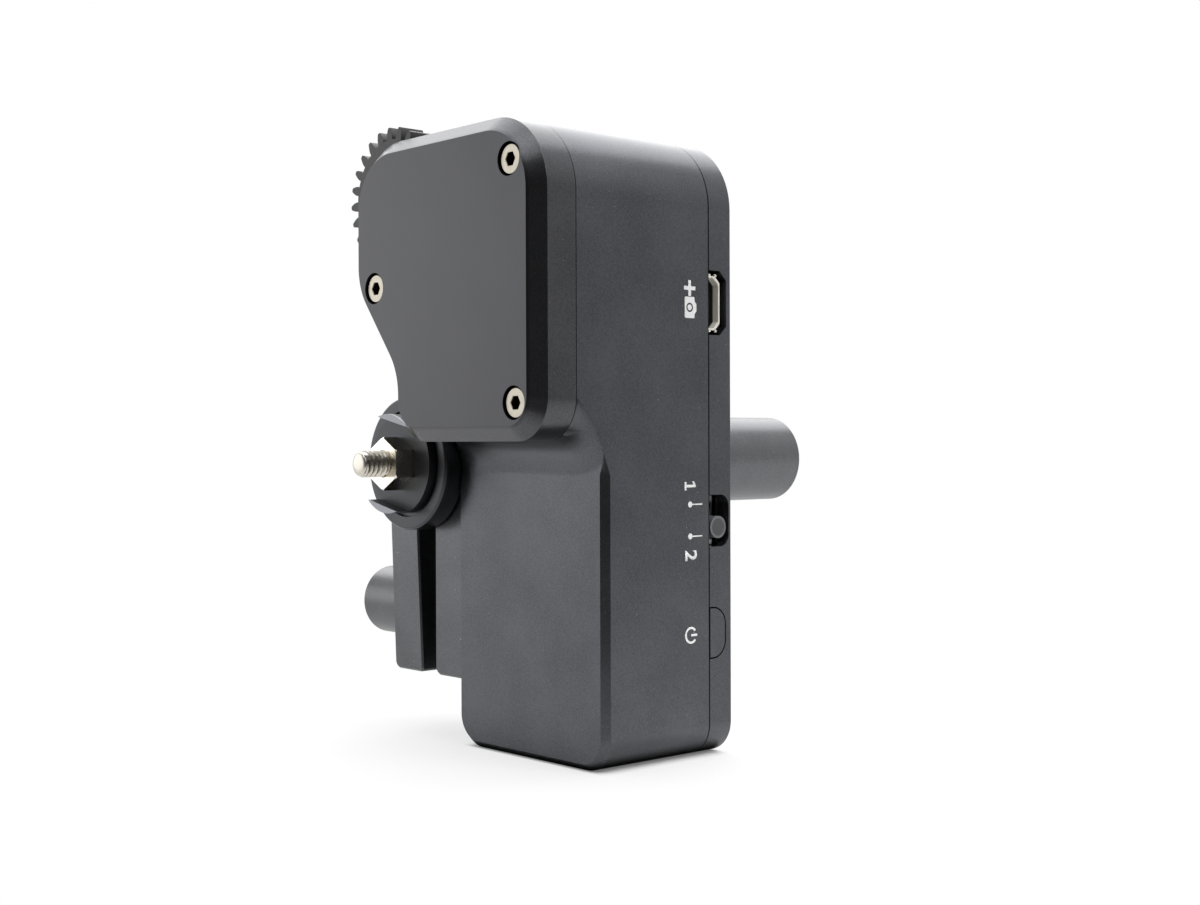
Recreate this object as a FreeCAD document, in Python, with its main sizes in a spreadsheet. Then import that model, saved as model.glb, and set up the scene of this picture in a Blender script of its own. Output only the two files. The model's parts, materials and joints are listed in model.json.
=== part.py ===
import FreeCAD, Part
import math
import os
import Sketcher
from types import SimpleNamespace

# A lens motor that rides on a 15 mm rod: a milled housing with a gearbox on its front, a split
# clamp on its left wall and the rod that the clamp holds.
# The origin is the middle of the housing's flat base. +Z is up, the gear cover faces -Y, the
# wall with the socket and the switches faces +X, and the rod runs along Y on the -X side.

V = FreeCAD.Vector
doc = FreeCAD.newDocument("follow_focus")

# ---------------------------------------------------------------- driving dimensions, in mm

SIZES = [
    ("housing_width", 33.0, "housing, between the two side walls' outer faces"),
    ("housing_height", 88.7, "housing, base to top"),
    ("housing_depth", 24.9, "lower front face to the back face"),
    ("back_cover_depth", 4.9, "depth of the back cover's tray"),
    ("gear_step", 4.9, "how far the gearbox face stands in front of the lower front face"),
    ("gear_cover_depth", 7.0, "thickness of the gear cover"),
    ("gear_cover_reach", 10.0, "how far the gear cover overhangs the left wall"),
    ("gear_cover_foot_drop", 13.7, "gear cover's lower edge below the motor's axis"),
    ("shoulder_rise", 9.3, "slanted edge's lower end above the gear cover's lower edge"),
    ("slant_height", 12.7, "height of the gear cover's slanted left edge"),
    ("ear_depth", 7.6, "thickness of the housing's ear behind the gear cover"),
    ("wall", 1.8, "thickness of the housing's walls"),
    ("web", 3.0, "thickness of the plate between gearbox and motor"),
    ("cover_plate", 2.4, "thickness of the gear cover in front of the gears"),
    ("tray_floor", 1.4, "thickness of the back cover's floor"),
    ("top_corner", 10.5, "radius of the upper corners"),
    ("bottom_corner", 4.8, "radius of the lower corners"),
    ("overhang_corner", 10.0, "radius of the cover's upper left corner"),
    ("foot_corner", 6.0, "radius of the cover's lower corners"),
    ("shoulder_round", 11.0, "radius where the slanted edge starts"),
    ("recess_round", 7.5, "radius where the slanted edge ends"),
    ("cover_bevel", 2.0, "bevel round the gear cover"),
    ("front_bevel", 1.0, "bevel round the lower front face"),
    ("back_bevel", 0.5, "bevel round the back cover"),
    ("bevel_runout", 6.0, "height over which the side bevel dies out under the gearbox"),
    ("runout_depth", 1.3, "how far in front of the lower face the side bevel ends"),
    ("runout_start", 0.3, "how far up the fillet the side bevel starts to die out"),
    ("fillet_root", 0.9, "how deep the fillet under the gearbox is rooted in the front face"),
    ("room_corner", 1.5, "lower corners of the room behind the gearbox"),
    ("close_gap", 0.02, "clearance of pieces that are fixed in one another"),
    ("run_gap", 0.04, "radial clearance of what turns or slides"),
    ("free_gap", 0.35, "clearance of moving pieces from what they must not touch"),
    ("face_gap", 0.1, "gap between flat faces that turn or slide past each other"),
    ("screw_pass", 0.15, "radial clearance of a screw that passes through"),
    ("tap_spare", 0.5, "how much deeper a tapped hole is than its screw"),
    ("drive_drop", 7.8, "axis of the drive gear below the top"),
    ("idler_lean", 30.4, "direction from motor to idler gear, in degrees left of upright"),
    ("drive_lean", 51.884, "direction from idler to drive gear, in degrees left of upright"),
    ("drive_teeth", 24, "teeth of the drive gear"),
    ("idler_teeth", 18, "teeth of the idler gear"),
    ("motor_teeth", 16, "teeth of the motor gear"),
    ("lens_module", 0.8, "module of the drive, idler and motor gears"),
    ("gear_width", 4.0, "face width of those gears"),
    ("shaft_radius", 2.0, "drive shaft and gearbox output shaft"),
    ("journal_radius", 1.5, "front end of the drive shaft, and the idler pin"),
    ("journal_depth", 1.1, "how deep those ends sit in the gear cover"),
    ("bearing_radius", 4.0, "outside of the drive shaft's ball bearing"),
    ("bearing_width", 3.0, "width of that bearing"),
    ("bearing_ledge", 1.0, "ledge behind the bearing"),
    ("shaft_room", 1.2, "depth of the free room behind the bearing"),
    ("shaft_end", 0.6, "how far the drive shaft comes out behind the bearing"),
    ("pin_floor", 0.5, "what is left of the web behind the idler pin"),
    ("bush_wall", 1.0, "wall of the plain bushes"),
    ("case_radius", 10.5, "outside of the planet gearbox"),
    ("case_front", 1.8, "front wall of the planet gearbox"),
    ("case_length", 7.5, "length of the planet gearbox"),
    ("spigot_radius", 4.0, "boss that centres the gearbox in the web"),
    ("spigot_length", 1.5, "length of that boss"),
    ("planet_module", 0.4, "module of the planet stage"),
    ("sun_teeth", 15, "teeth of the sun gear"),
    ("planet_teeth", 15, "teeth of each planet gear"),
    ("planet_width", 3.4, "face width of the planets"),
    ("carrier_plate", 1.1, "thickness of the planet carrier"),
    ("planet_pin_radius", 0.8, "pins that the planets turn on"),
    ("carrier_rim", 1.3, "carrier plate, beyond the planets' axes"),
    ("can_radius", 10.2, "outside of the motor can"),
    ("can_wall", 0.8, "wall of the motor can"),
    ("magnet_thickness", 1.0, "radial thickness of the motor magnets"),
    ("magnet_gap", 0.6, "motor can's front wall to the magnets"),
    ("magnet_overhang", 0.5, "magnets, beyond each end of the winding"),
    ("magnet_slit", 1.6, "gap between the two magnets"),
    ("winding_room", 2.7, "winding's back end to the motor's end cap"),
    ("rotor_shaft_radius", 0.75, "motor shaft"),
    ("end_cap_length", 1.0, "thickness of the motor's end cap"),
    ("plug_length", 1.0, "rim of the end cap inside the can"),
    ("plug_wall", 1.2, "thickness of that rim"),
    ("encoder_room", 1.1, "motor's end cap to the circuit board"),
    ("terminal_radius", 0.5, "motor terminals"),
    ("terminal_spread", 5.0, "motor terminals, each side of the middle"),
    ("terminal_drop", 4.0, "motor terminals, below the motor's axis"),
    ("terminal_reach", 0.5, "motor terminals, behind the board"),
    ("encoder_radius", 2.0, "magnet that the encoder reads"),
    ("encoder_length", 0.6, "thickness of that magnet"),
    ("cover_screw_radius", 1.25, "M2.5 screws of the gear cover"),
    ("cover_head_radius", 1.98, "heads of those screws"),
    ("cover_head_length", 1.75, "height of those heads"),
    ("cover_screw_length", 11.0, "length of those screws under the head"),
    ("cover_socket", 1.75, "hex socket of those screws, across the flats"),
    ("cover_socket_depth", 1.2, "hex socket of those screws"),
    ("head_recess", 0.34, "how far the heads lie below the cover's face"),
    ("head_gap", 0.3, "gap round those heads"),
    ("upper_screw_inset", 5.6, "upper cover screw, in from the right wall"),
    ("upper_screw_drop", 6.3, "upper cover screw, below the top"),
    ("left_screw_inset", 6.0, "left cover screw, in from the overhang's edge"),
    ("left_screw_rise", 0.4, "left cover screw, above the slanted edge's upper end"),
    ("lower_screw_inset", 4.7, "lower cover screw, in from the right wall"),
    ("lower_screw_rise", 5.1, "lower cover screw, above the cover's lower edge"),
    ("small_screw_radius", 1.0, "M2 screws of the back cover, the board and the motor"),
    ("small_head_radius", 1.9, "heads of the M2 screws"),
    ("small_head_length", 1.0, "height of the M2 heads"),
    ("small_socket", 1.3, "hex socket of the M2 screws, across the flats"),
    ("small_socket_depth", 0.6, "hex socket of the M2 screws"),
    ("cross_length", 1.8, "cross recess of the board's screws"),
    ("cross_width", 0.4, "cross recess of the board's screws"),
    ("cross_depth", 0.5, "cross recess of the board's screws"),
    ("motor_screw_inset", 2.9, "motor screws, in from the gearbox's outside"),
    ("back_screw_length", 6.0, "length of the back cover's screws under the head"),
    ("board_screw_length", 5.0, "length of the board's screws under the head"),
    ("post_radius", 2.0, "posts that carry the board"),
    ("corner_post_radius", 2.7, "posts that the back cover is screwed to"),
    ("post_root", 1.0, "how far a post runs into the wall that it stands on"),
    ("lower_post_inset", 5.2, "lower corner posts, in from base and walls"),
    ("upper_post_inset", 6.2, "upper corner posts, in from top and walls"),
    ("board_post_inset", 3.3, "board posts, in from the side walls' inner faces"),
    ("lower_board_post", 9.0, "lowest board post, above the board's lower edge"),
    ("left_board_post", 5.0, "left board post, below the gearbox"),
    ("right_board_post", 2.8, "right board post, below the gearbox"),
    ("right_post_gap", 0.2, "right board post's screw head to the slide switch"),
    ("rod_offset", 8.9, "axis of the rod, out from the left wall"),
    ("rod_drop", 3.3, "axis of the rod, below the gear cover's lower edge"),
    ("rod_radius", 7.5, "the standard 15 mm rod"),
    ("rod_bore_radius", 5.9, "bore of the rod"),
    ("rod_end_wall", 3.0, "closed rear end of the rod"),
    ("rod_length", 80.7, "length of the rod's tube"),
    ("rod_end_bevel", 0.6, "bevel at the rod's rear end"),
    ("clamp_wall", 2.05, "wall of the clamp round the rod"),
    ("clamp_depth", 15.0, "depth of the clamp block along the rod"),
    ("clamp_setback", 0.8, "clamp block's front face behind the lower front face"),
    ("clamp_bevel", 0.25, "bevels round the clamp block"),
    ("clamp_foot", 9.6, "height of the clamp block's lower end"),
    ("clamp_slot", 4.6, "slot of the clamp, at the rod"),
    ("clamp_squeeze", 1.25, "how far the knob has drawn the outer leaf in"),
    ("leaf_thickness", 7.3, "outer leaf of the clamp"),
    ("leaf_bend_drop", 8.0, "where the outer leaf starts to bend in, below the rod's axis"),
    ("leaf_round", 1.2, "rounded lower edges of the leaves"),
    ("clamp_screw_z", 19.15, "height of the clamp screw"),
    ("clamp_screw_radius", 2.0, "M4 clamp screw"),
    ("clamp_screw_pass", 0.3, "radial clearance of that screw in the outer leaf"),
    ("clamp_screw_bite", 5.2, "how far the clamp screw sits in the inner leaf"),
    ("clamp_fixing_radius", 1.5, "M3 screws that hold the clamp block"),
    ("clamp_fixing_head", 2.6, "heads of those screws"),
    ("clamp_head_length", 1.5, "height of those heads"),
    ("clamp_socket", 2.0, "hex socket of those screws, across the flats"),
    ("clamp_socket_depth", 1.0, "hex socket of those screws"),
    ("clamp_fixing_length", 4.6, "how far they go into the clamp block"),
    ("clamp_fixing_low", 3.0, "lower one of those screws, above the block's lower end"),
    ("clamp_fixing_high", 11.2, "upper pair, below the rod's axis"),
    ("clamp_fixing_spread", 3.7, "upper pair, each side of the block's middle"),
    ("knob_radius", 5.45, "clamp knob"),
    ("knob_length", 11.3, "clamp knob"),
    ("knob_bevel", 0.5, "bevels of the clamp knob"),
    ("washer_radius", 5.0, "washer under the knob"),
    ("washer_thickness", 0.8, "washer under the knob"),
    ("seat_radius", 5.7, "flat that is milled in the leaf for the washer"),
    ("seat_depth", 1.05, "depth of that flat below the leaf's highest side"),
    ("ring_radius", 10.1, "stop ring round the rod"),
    ("ring_length", 3.6, "length of the stop ring"),
    ("ring_bevel", 0.3, "bevels of the stop ring"),
    ("ring_gap", 0.1, "stop ring to clamp block"),
    ("ring_lip", 0.8, "lip of the ring that the rod head holds"),
    ("ring_groove", 0.6, "groove between the rod head and the ring"),
    ("head_length", 1.8, "disc of the rod head"),
    ("head_proud", 1.1, "how far the rod head stands in front of the ring"),
    ("head_neck_radius", 6.4, "neck behind the rod head's disc"),
    ("head_shank_length", 9.0, "shank of the rod head in the tube"),
    ("key_height", 2.4, "how far the two keys stand in front of the rod head"),
    ("key_chord", 6.45, "distance of the keys' flat sides from the rod's axis"),
    ("key_reach", 4.15, "keys, from their middle to their cut ends"),
    ("key_root", 0.5, "how deep the keys are rooted in the rod head"),
    ("key_turn", 12.0, "how far the rod is turned in its clamp, in degrees"),
    ("stud_radius", 2.0, "M4 stud"),
    ("stud_reach", 7.5, "how far the stud stands in front of the rod head"),
    ("stud_depth", 7.0, "how deep the stud sits in the rod head"),
    ("stud_point", 0.6, "bevel of the stud's point"),
    ("nut_flats", 7.0, "lock nut, across the flats"),
    ("nut_thickness", 3.2, "lock nut"),
    ("nut_corner_drop", 0.25, "how far the nut's corners are bevelled back"),
    ("nut_corner_cut", 0.25, "how much the nut's corners are bevelled at its faces"),
    ("board_setback", 1.1, "circuit board's front, before the seam of the back cover"),
    ("board_thickness", 1.2, "circuit board"),
    ("board_edge_gap", 0.4, "circuit board to the housing's side walls"),
    ("board_foot", 9.0, "height of the board's lower edge"),
    ("board_drop", 13.7, "board's upper edge, below the top"),
    ("main_chip_side", 7.0, "main chip"),
    ("main_chip_thickness", 0.9, "main chip"),
    ("main_chip_rise", 20.5, "main chip's middle, above the board's lower edge"),
    ("radio_chip_side", 5.0, "radio chip"),
    ("radio_chip_thickness", 0.8, "radio chip"),
    ("radio_chip_drop", 14.3, "radio chip's middle, below the motor's axis"),
    ("charge_chip_side", 3.5, "charging chip"),
    ("charge_chip_thickness", 1.1, "charging chip"),
    ("charge_chip_rise", 13.0, "charging chip's middle, above the board's lower edge"),
    ("chip_spread", 3.5, "chips' middles, left or right of the board's middle"),
    ("encoder_chip_side", 3.2, "chip that reads the motor's magnet"),
    ("encoder_chip_thickness", 1.0, "chip that reads the motor's magnet"),
    ("port_recess", 0.5, "how far the socket's mouth lies inside the side wall"),
    ("usb_drop", 23.9, "socket's middle, below the top"),
    ("usb_length", 7.8, "socket, long side"),
    ("usb_height", 2.7, "socket, short side"),
    ("usb_depth", 5.6, "socket, front to back"),
    ("usb_sheet", 0.3, "sheet metal of the socket"),
    ("usb_slant", 1.0, "slanted corners of the socket"),
    ("usb_heel", 1.2, "block that holds the socket's tongue"),
    ("usb_tongue_thickness", 0.6, "tongue of the socket"),
    ("usb_tongue_shift", 0.55, "tongue, behind the socket's middle"),
    ("usb_tongue_inset", 1.5, "tongue, in from the socket's ends"),
    ("usb_tongue_setback", 1.6, "tongue's front, inside the socket's mouth"),
    ("usb_notch_length", 9.2, "notch for the socket"),
    ("usb_notch_depth", 3.6, "notch for the socket, from the seam"),
    ("usb_notch_corner", 1.3, "cut corners of that notch"),
    ("notch_root", 0.3, "how far the notches are cut inside the side wall"),
    ("switch_z", 33.7, "height of the mode switch's window"),
    ("switch_window", 7.4, "window of the mode switch, long side"),
    ("switch_window_depth", 4.0, "window of the mode switch, from the seam"),
    ("switch_corner", 1.6, "rounded corners of that window"),
    ("switch_travel", 1.9, "travel of the mode slider"),
    ("switch_post_radius", 1.6, "round post of the mode slider"),
    ("switch_post_recess", 0.3, "how far the post lies inside the side wall"),
    ("switch_post_rise", 2.05, "axis of the post, behind the board"),
    ("switch_shift", 0.2, "stem and foot of the slider, nearer to the board than the post"),
    ("switch_stem_length", 3.0, "flat stem of the slider"),
    ("switch_stem_thickness", 1.1, "flat stem of the slider"),
    ("switch_foot_length", 4.6, "foot of the slider, in the switch"),
    ("switch_foot_thickness", 1.6, "foot of the slider, in the switch"),
    ("slide_gap", 0.05, "clearance of the slider in its switch"),
    ("switch_case_gap", 0.5, "case of the slide switch to the side wall"),
    ("switch_case_front", 0.5, "front wall of that case"),
    ("switch_case_back", 0.8, "back wall of that case"),
    ("switch_case_depth", 4.2, "case of the slide switch, inwards"),
    ("switch_case_length", 9.0, "case of the slide switch, long side"),
    ("switch_case_height", 2.8, "case of the slide switch, off the board"),
    ("button_z", 17.7, "height of the power button"),
    ("button_length", 7.0, "power button, long side"),
    ("button_depth", 3.2, "power button, from the seam"),
    ("button_corner", 2.4, "rounded corners of the button"),
    ("button_gap", 0.2, "gap round the button"),
    ("button_travel", 0.4, "travel of the power button"),
    ("button_flange", 0.8, "flange that keeps the button in"),
    ("button_grow", 0.6, "how far the flange stands out at the button's ends"),
    ("flange_room", 0.3, "room round the flange in the back cover"),
    ("push_switch_side", 4.2, "push switch behind the button"),
    ("push_switch_depth", 2.6, "push switch, inwards"),
    ("push_switch_height", 2.8, "push switch, off the board"),
    ("plunger_radius", 0.9, "plunger of the push switch"),
    ("plunger_reach", 0.9, "plunger of the push switch"),
    ("plunger_well", 1.4, "depth of the well that the plunger runs in"),
    ("plunger_sink", 0.6, "how deep the plunger sits in its well"),
    ("battery_foot", 8.4, "height of the battery's lower end"),
    ("battery_left_gap", 1.0, "battery to the board posts on its left"),
    ("battery_right_gap", 1.1, "battery to the right wall"),
    ("battery_front_gap", 0.4, "battery to the front wall"),
    ("battery_headroom", 6.4, "battery's upper end to the gearbox, for the leads"),
    ("battery_corner", 2.0, "rounded corners of the battery"),
    ("foam_thickness", 5.6, "foam between battery and circuit board"),
    ("foam_inset", 2.0, "foam, in from the battery's edges"),
    ("lead_radius", 0.6, "battery leads"),
    ("lead_bend", 2.4, "bend of the battery leads"),
    ("lead_spread", 2.4, "battery leads, each side of the battery's middle"),
    ("lead_setback", 3.0, "battery leads, in front of the battery's back"),
    ("lead_rise", 1.2, "straight part of the leads above the battery"),
]

sheet = doc.addObject("Spreadsheet::Sheet", "Sizes")
for row, (alias, value, meaning) in enumerate(SIZES, 1):
    sheet.set(f"A{row}", alias)
    sheet.set(f"B{row}", str(value))
    sheet.set(f"C{row}", meaning)
    sheet.setAlias(f"B{row}", alias)
doc.recompute()


class Size:
    """A length that carries its number and the formula that gives it from the sheet."""

    def __init__(self, number, formula):
        self.number = number
        self.formula = formula

    def __add__(self, other):
        other = as_size(other)
        return Size(self.number + other.number, f"({self.formula} + {other.formula})")

    def __sub__(self, other):
        other = as_size(other)
        return Size(self.number - other.number, f"({self.formula} - {other.formula})")

    def __mul__(self, other):
        other = as_size(other)
        return Size(self.number * other.number, f"({self.formula} * {other.formula})")

    def __truediv__(self, other):
        other = as_size(other)
        return Size(self.number / other.number, f"({self.formula} / {other.formula})")

    def __radd__(self, other):
        return as_size(other) + self

    def __rsub__(self, other):
        return as_size(other) - self

    def __rmul__(self, other):
        return as_size(other) * self

    def __neg__(self):
        return 0 - self


def as_size(thing):
    if isinstance(thing, Size):
        return thing
    return Size(float(thing), f"({float(thing)!r})")


def sine(size):
    return Size(math.sin(math.radians(size.number)), f"sin({size.formula} * 1 deg)")


def cosine(size):
    return Size(math.cos(math.radians(size.number)), f"cos({size.formula} * 1 deg)")


def number(thing):
    return as_size(thing).number


d = SimpleNamespace(**{alias: Size(float(sheet.get(alias)), f"Sizes.{alias}")
                       for alias, _, _ in SIZES})

# ---------------------------------------------------------------- places that several pieces share

right = d.housing_width / 2
left = -right
top = d.housing_height
front = -d.housing_depth / 2
back = d.housing_depth / 2
back_seam = back - d.back_cover_depth
cover_seam = front - d.gear_step
cover_front = cover_seam - d.gear_cover_depth
inner_right = right - d.wall
web_back = cover_seam + d.web
gear_front = cover_front + d.cover_plate + d.free_gap
journal_front = cover_front + d.cover_plate - d.journal_depth
board_front = back_seam - d.board_setback
board_back = board_front + d.board_thickness
tray_inside = back - d.tray_floor

drive_radius = d.lens_module * d.drive_teeth / 2
idler_radius = d.lens_module * d.idler_teeth / 2
motor_radius = d.lens_module * d.motor_teeth / 2

# The gear train leans to the left: motor gear, idler, and the drive gear under the top corner.
to_motor = motor_radius + idler_radius
to_drive = idler_radius + drive_radius
idler_x = -(to_motor * sine(d.idler_lean))
drive_x = idler_x - to_drive * sine(d.drive_lean)
drive_z = top - d.drive_drop
idler_z = drive_z - to_drive * cosine(d.drive_lean)
motor_z = idler_z - to_motor * cosine(d.idler_lean)
under_gearbox_case = motor_z - d.case_radius
gear_cover_foot = motor_z - d.gear_cover_foot_drop
shoulder_foot = gear_cover_foot + d.shoulder_rise
shoulder_top = shoulder_foot + d.slant_height
overhang = left - d.gear_cover_reach

# Gear cover screws: upper right, left, lower right.
COVER_SCREWS = [
    (right - d.upper_screw_inset, top - d.upper_screw_drop),
    (overhang + d.left_screw_inset, shoulder_top + d.left_screw_rise),
    (right - d.lower_screw_inset, gear_cover_foot + d.lower_screw_rise),
]
under_head = cover_front + d.head_recess + d.cover_head_length
lower_post = right - d.lower_post_inset
upper_post = right - d.upper_post_inset
LOWER_POSTS = [(lower_post, d.lower_post_inset), (-lower_post, d.lower_post_inset)]
UPPER_POSTS = [(upper_post, top - d.upper_post_inset), (-upper_post, top - d.upper_post_inset)]
CORNER_POSTS = LOWER_POSTS + UPPER_POSTS
board_post_x = inner_right - d.board_post_inset
switch_case_right = inner_right - d.switch_case_gap
switch_case_left = switch_case_right - d.switch_case_depth
BOARD_POSTS = [
    (-board_post_x, d.board_foot + d.lower_board_post),
    (-board_post_x, under_gearbox_case - d.left_board_post),
    (switch_case_left - d.small_head_radius - d.right_post_gap,
     under_gearbox_case - d.right_board_post),
]
MOTOR_SCREW_ANGLES = (30, 150, 270)
motor_screw_ring = d.case_radius - d.motor_screw_inset

rod_x = left - d.rod_offset
rod_z = gear_cover_foot - d.rod_drop
clamp_front = front + d.clamp_setback
clamp_back = clamp_front + d.clamp_depth
clamp_middle = clamp_front + d.clamp_depth / 2
clamp_round = d.rod_radius + d.clamp_wall
rod_bore = d.rod_radius + d.run_gap
slot_left = rod_x - d.clamp_slot / 2
slot_right = rod_x + d.clamp_slot / 2
leaf_outside = rod_x - clamp_round
leaf_bend = rod_z - d.leaf_bend_drop
leaf_seat = leaf_outside + d.seat_depth
washer_outside = leaf_seat - d.washer_thickness
CLAMP_FIXINGS = [
    (clamp_middle - d.clamp_fixing_spread, rod_z - d.clamp_fixing_high),
    (clamp_middle + d.clamp_fixing_spread, rod_z - d.clamp_fixing_high),
    (clamp_middle, d.clamp_foot + d.clamp_fixing_low),
]

ring_back = clamp_front - d.ring_gap
ring_front = ring_back - d.ring_length
head_front = ring_front - d.head_proud
head_back = head_front + d.head_length
tube_front = head_back + d.ring_lip + 2 * d.run_gap
tube_back = tube_front + d.rod_length
nut_front = head_front - d.nut_thickness

case_back = web_back + d.case_length
inside_case = web_back + d.case_front
carrier_front = inside_case + d.face_gap
carrier_back = carrier_front + d.carrier_plate
planets_front = carrier_back + d.face_gap
planets_back = planets_front + d.planet_width
end_cap_back = board_front - d.encoder_room
can_back = end_cap_back - d.end_cap_length
can_length = can_back - case_back
magnet_front = case_back + d.can_wall + d.magnet_gap
rotor_front = magnet_front + d.magnet_overhang
rotor_length = can_back - rotor_front - d.winding_room
encoder_front = end_cap_back + d.face_gap
TERMINALS = [(side * d.terminal_spread, motor_z - d.terminal_drop) for side in (1, -1)]
sun_radius = d.planet_module * d.sun_teeth / 2
planet_radius = d.planet_module * d.planet_teeth / 2
orbit = sun_radius + planet_radius

bevel_start = gear_cover_foot - d.gear_step + d.runout_start

usb_z = top - d.usb_drop
usb_middle = board_back + d.usb_height / 2
usb_mouth = right - d.port_recess
switch_middle = board_back + d.switch_post_rise
slider_rest = d.switch_z - d.switch_travel / 2

# ---------------------------------------------------------------- building blocks

AXES = {
    "x": FreeCAD.Rotation(V(0, 0, 1), V(1, 0, 0)),
    "y": FreeCAD.Rotation(V(0, 0, 1), V(0, 1, 0)),
    "z": FreeCAD.Rotation(),
}
NODES = {}


def node(name, thing):
    """Names a finished sub-part."""
    thing.Label = name
    NODES[name] = thing
    return thing


def bind(thing, where, size):
    thing.setExpression(where, as_size(size).formula)


def place(thing, x, y, z, turn=FreeCAD.Rotation()):
    thing.Placement = FreeCAD.Placement(V(number(x), number(y), number(z)), turn)
    for letter, size in zip("xyz", (x, y, z)):
        bind(thing, f"Placement.Base.{letter}", size)
    return thing


def box(low, high):
    """A box from its lowest corner to its highest."""
    solid = doc.addObject("Part::Box", "box")
    for side, start, end in zip(("Length", "Width", "Height"), low, high):
        bind(solid, side, end - as_size(start))
    return place(solid, *low)


def rod(axis, start, radius, length):
    """A cylinder that runs from start along +axis."""
    solid = doc.addObject("Part::Cylinder", "cylinder")
    bind(solid, "Radius", radius)
    bind(solid, "Height", length)
    return place(solid, *start, AXES[axis])


def taper(axis, start, radius, end_radius, length):
    """A cone from start along +axis."""
    solid = doc.addObject("Part::Cone", "cone")
    bind(solid, "Radius1", radius)
    bind(solid, "Radius2", end_radius)
    bind(solid, "Height", length)
    return place(solid, *start, AXES[axis])


def hexagon(axis, start, flats, length, spin=0):
    """A six-sided bar, flats across, from start along +axis."""
    solid = doc.addObject("Part::Prism", "hexagon")
    solid.Polygon = 6
    bind(solid, "Circumradius", flats / math.sqrt(3))
    bind(solid, "Height", length)
    return place(solid, *start, AXES[axis] * FreeCAD.Rotation(V(0, 0, 1), spin))


def fused(*solids):
    if len(solids) == 1:
        return solids[0]
    whole = doc.addObject("Part::MultiFuse", "fused")
    whole.Shapes = list(solids)
    whole.Refine = True
    return whole


def without(base, *tools):
    """base less the tools."""
    rest = doc.addObject("Part::Cut", "cut")
    rest.Base = base
    rest.Tool = fused(*tools)
    rest.Refine = True
    return rest


def overlap(one, other):
    shared = doc.addObject("Part::MultiCommon", "common")
    shared.Shapes = [one, other]
    return shared


def group(solids):
    """Equal pieces that share a node."""
    whole = doc.addObject("Part::Compound", "group")
    whole.Links = list(solids)
    return whole


def pipe(axis, start, radius, bore, length):
    """A cylinder with a bore through it."""
    return without(rod(axis, start, radius, length), rod(axis, start, bore, length))


def new_body():
    return doc.addObject("PartDesign::Body", "body")


def sketch(body, plane, level):
    """An empty sketch parallel to one of the body's origin planes, at a level along its axis."""
    role = {"x": "YZ_Plane", "y": "XZ_Plane", "z": "XY_Plane"}[plane]
    base = next(item for item in body.Origin.OriginFeatures if item.Role == role)
    drawing = body.newObject("Sketcher::SketchObject", "sketch")
    drawing.AttachmentSupport = (base, [""])
    drawing.MapMode = "FlatFace"
    height = -as_size(level) if plane == "y" else as_size(level)
    drawing.AttachmentOffset = FreeCAD.Placement(V(0, 0, height.number), FreeCAD.Rotation())
    bind(drawing, "AttachmentOffset.Base.z", height)
    return drawing


def fix(drawing, kind, *where):
    """Adds a constraint whose last item is a size."""
    *spot, size = where
    index = drawing.addConstraint(Sketcher.Constraint(kind, *spot, number(size)))
    drawing.renameConstraint(index, f"c{index}")
    bind(drawing, f"Constraints.c{index}", size)


def pin_point(drawing, line, end, x, y):
    fix(drawing, "DistanceX", -1, 1, line, end, x)
    fix(drawing, "DistanceY", -1, 1, line, end, y)


def screw_post(x, z, start, radius, end):
    """A post along Y for a screw, rooted in the wall that it stands on."""
    return rod("y", (x, start - d.post_root, z), radius, end - start + d.post_root)


def circle(drawing, x, y, radius):
    shape = Part.Circle(V(number(x), number(y), 0), V(0, 0, 1), number(radius))
    index = drawing.addGeometry(shape, False)
    fix(drawing, "Radius", index, radius)
    pin_point(drawing, index, 3, x, y)


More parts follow.
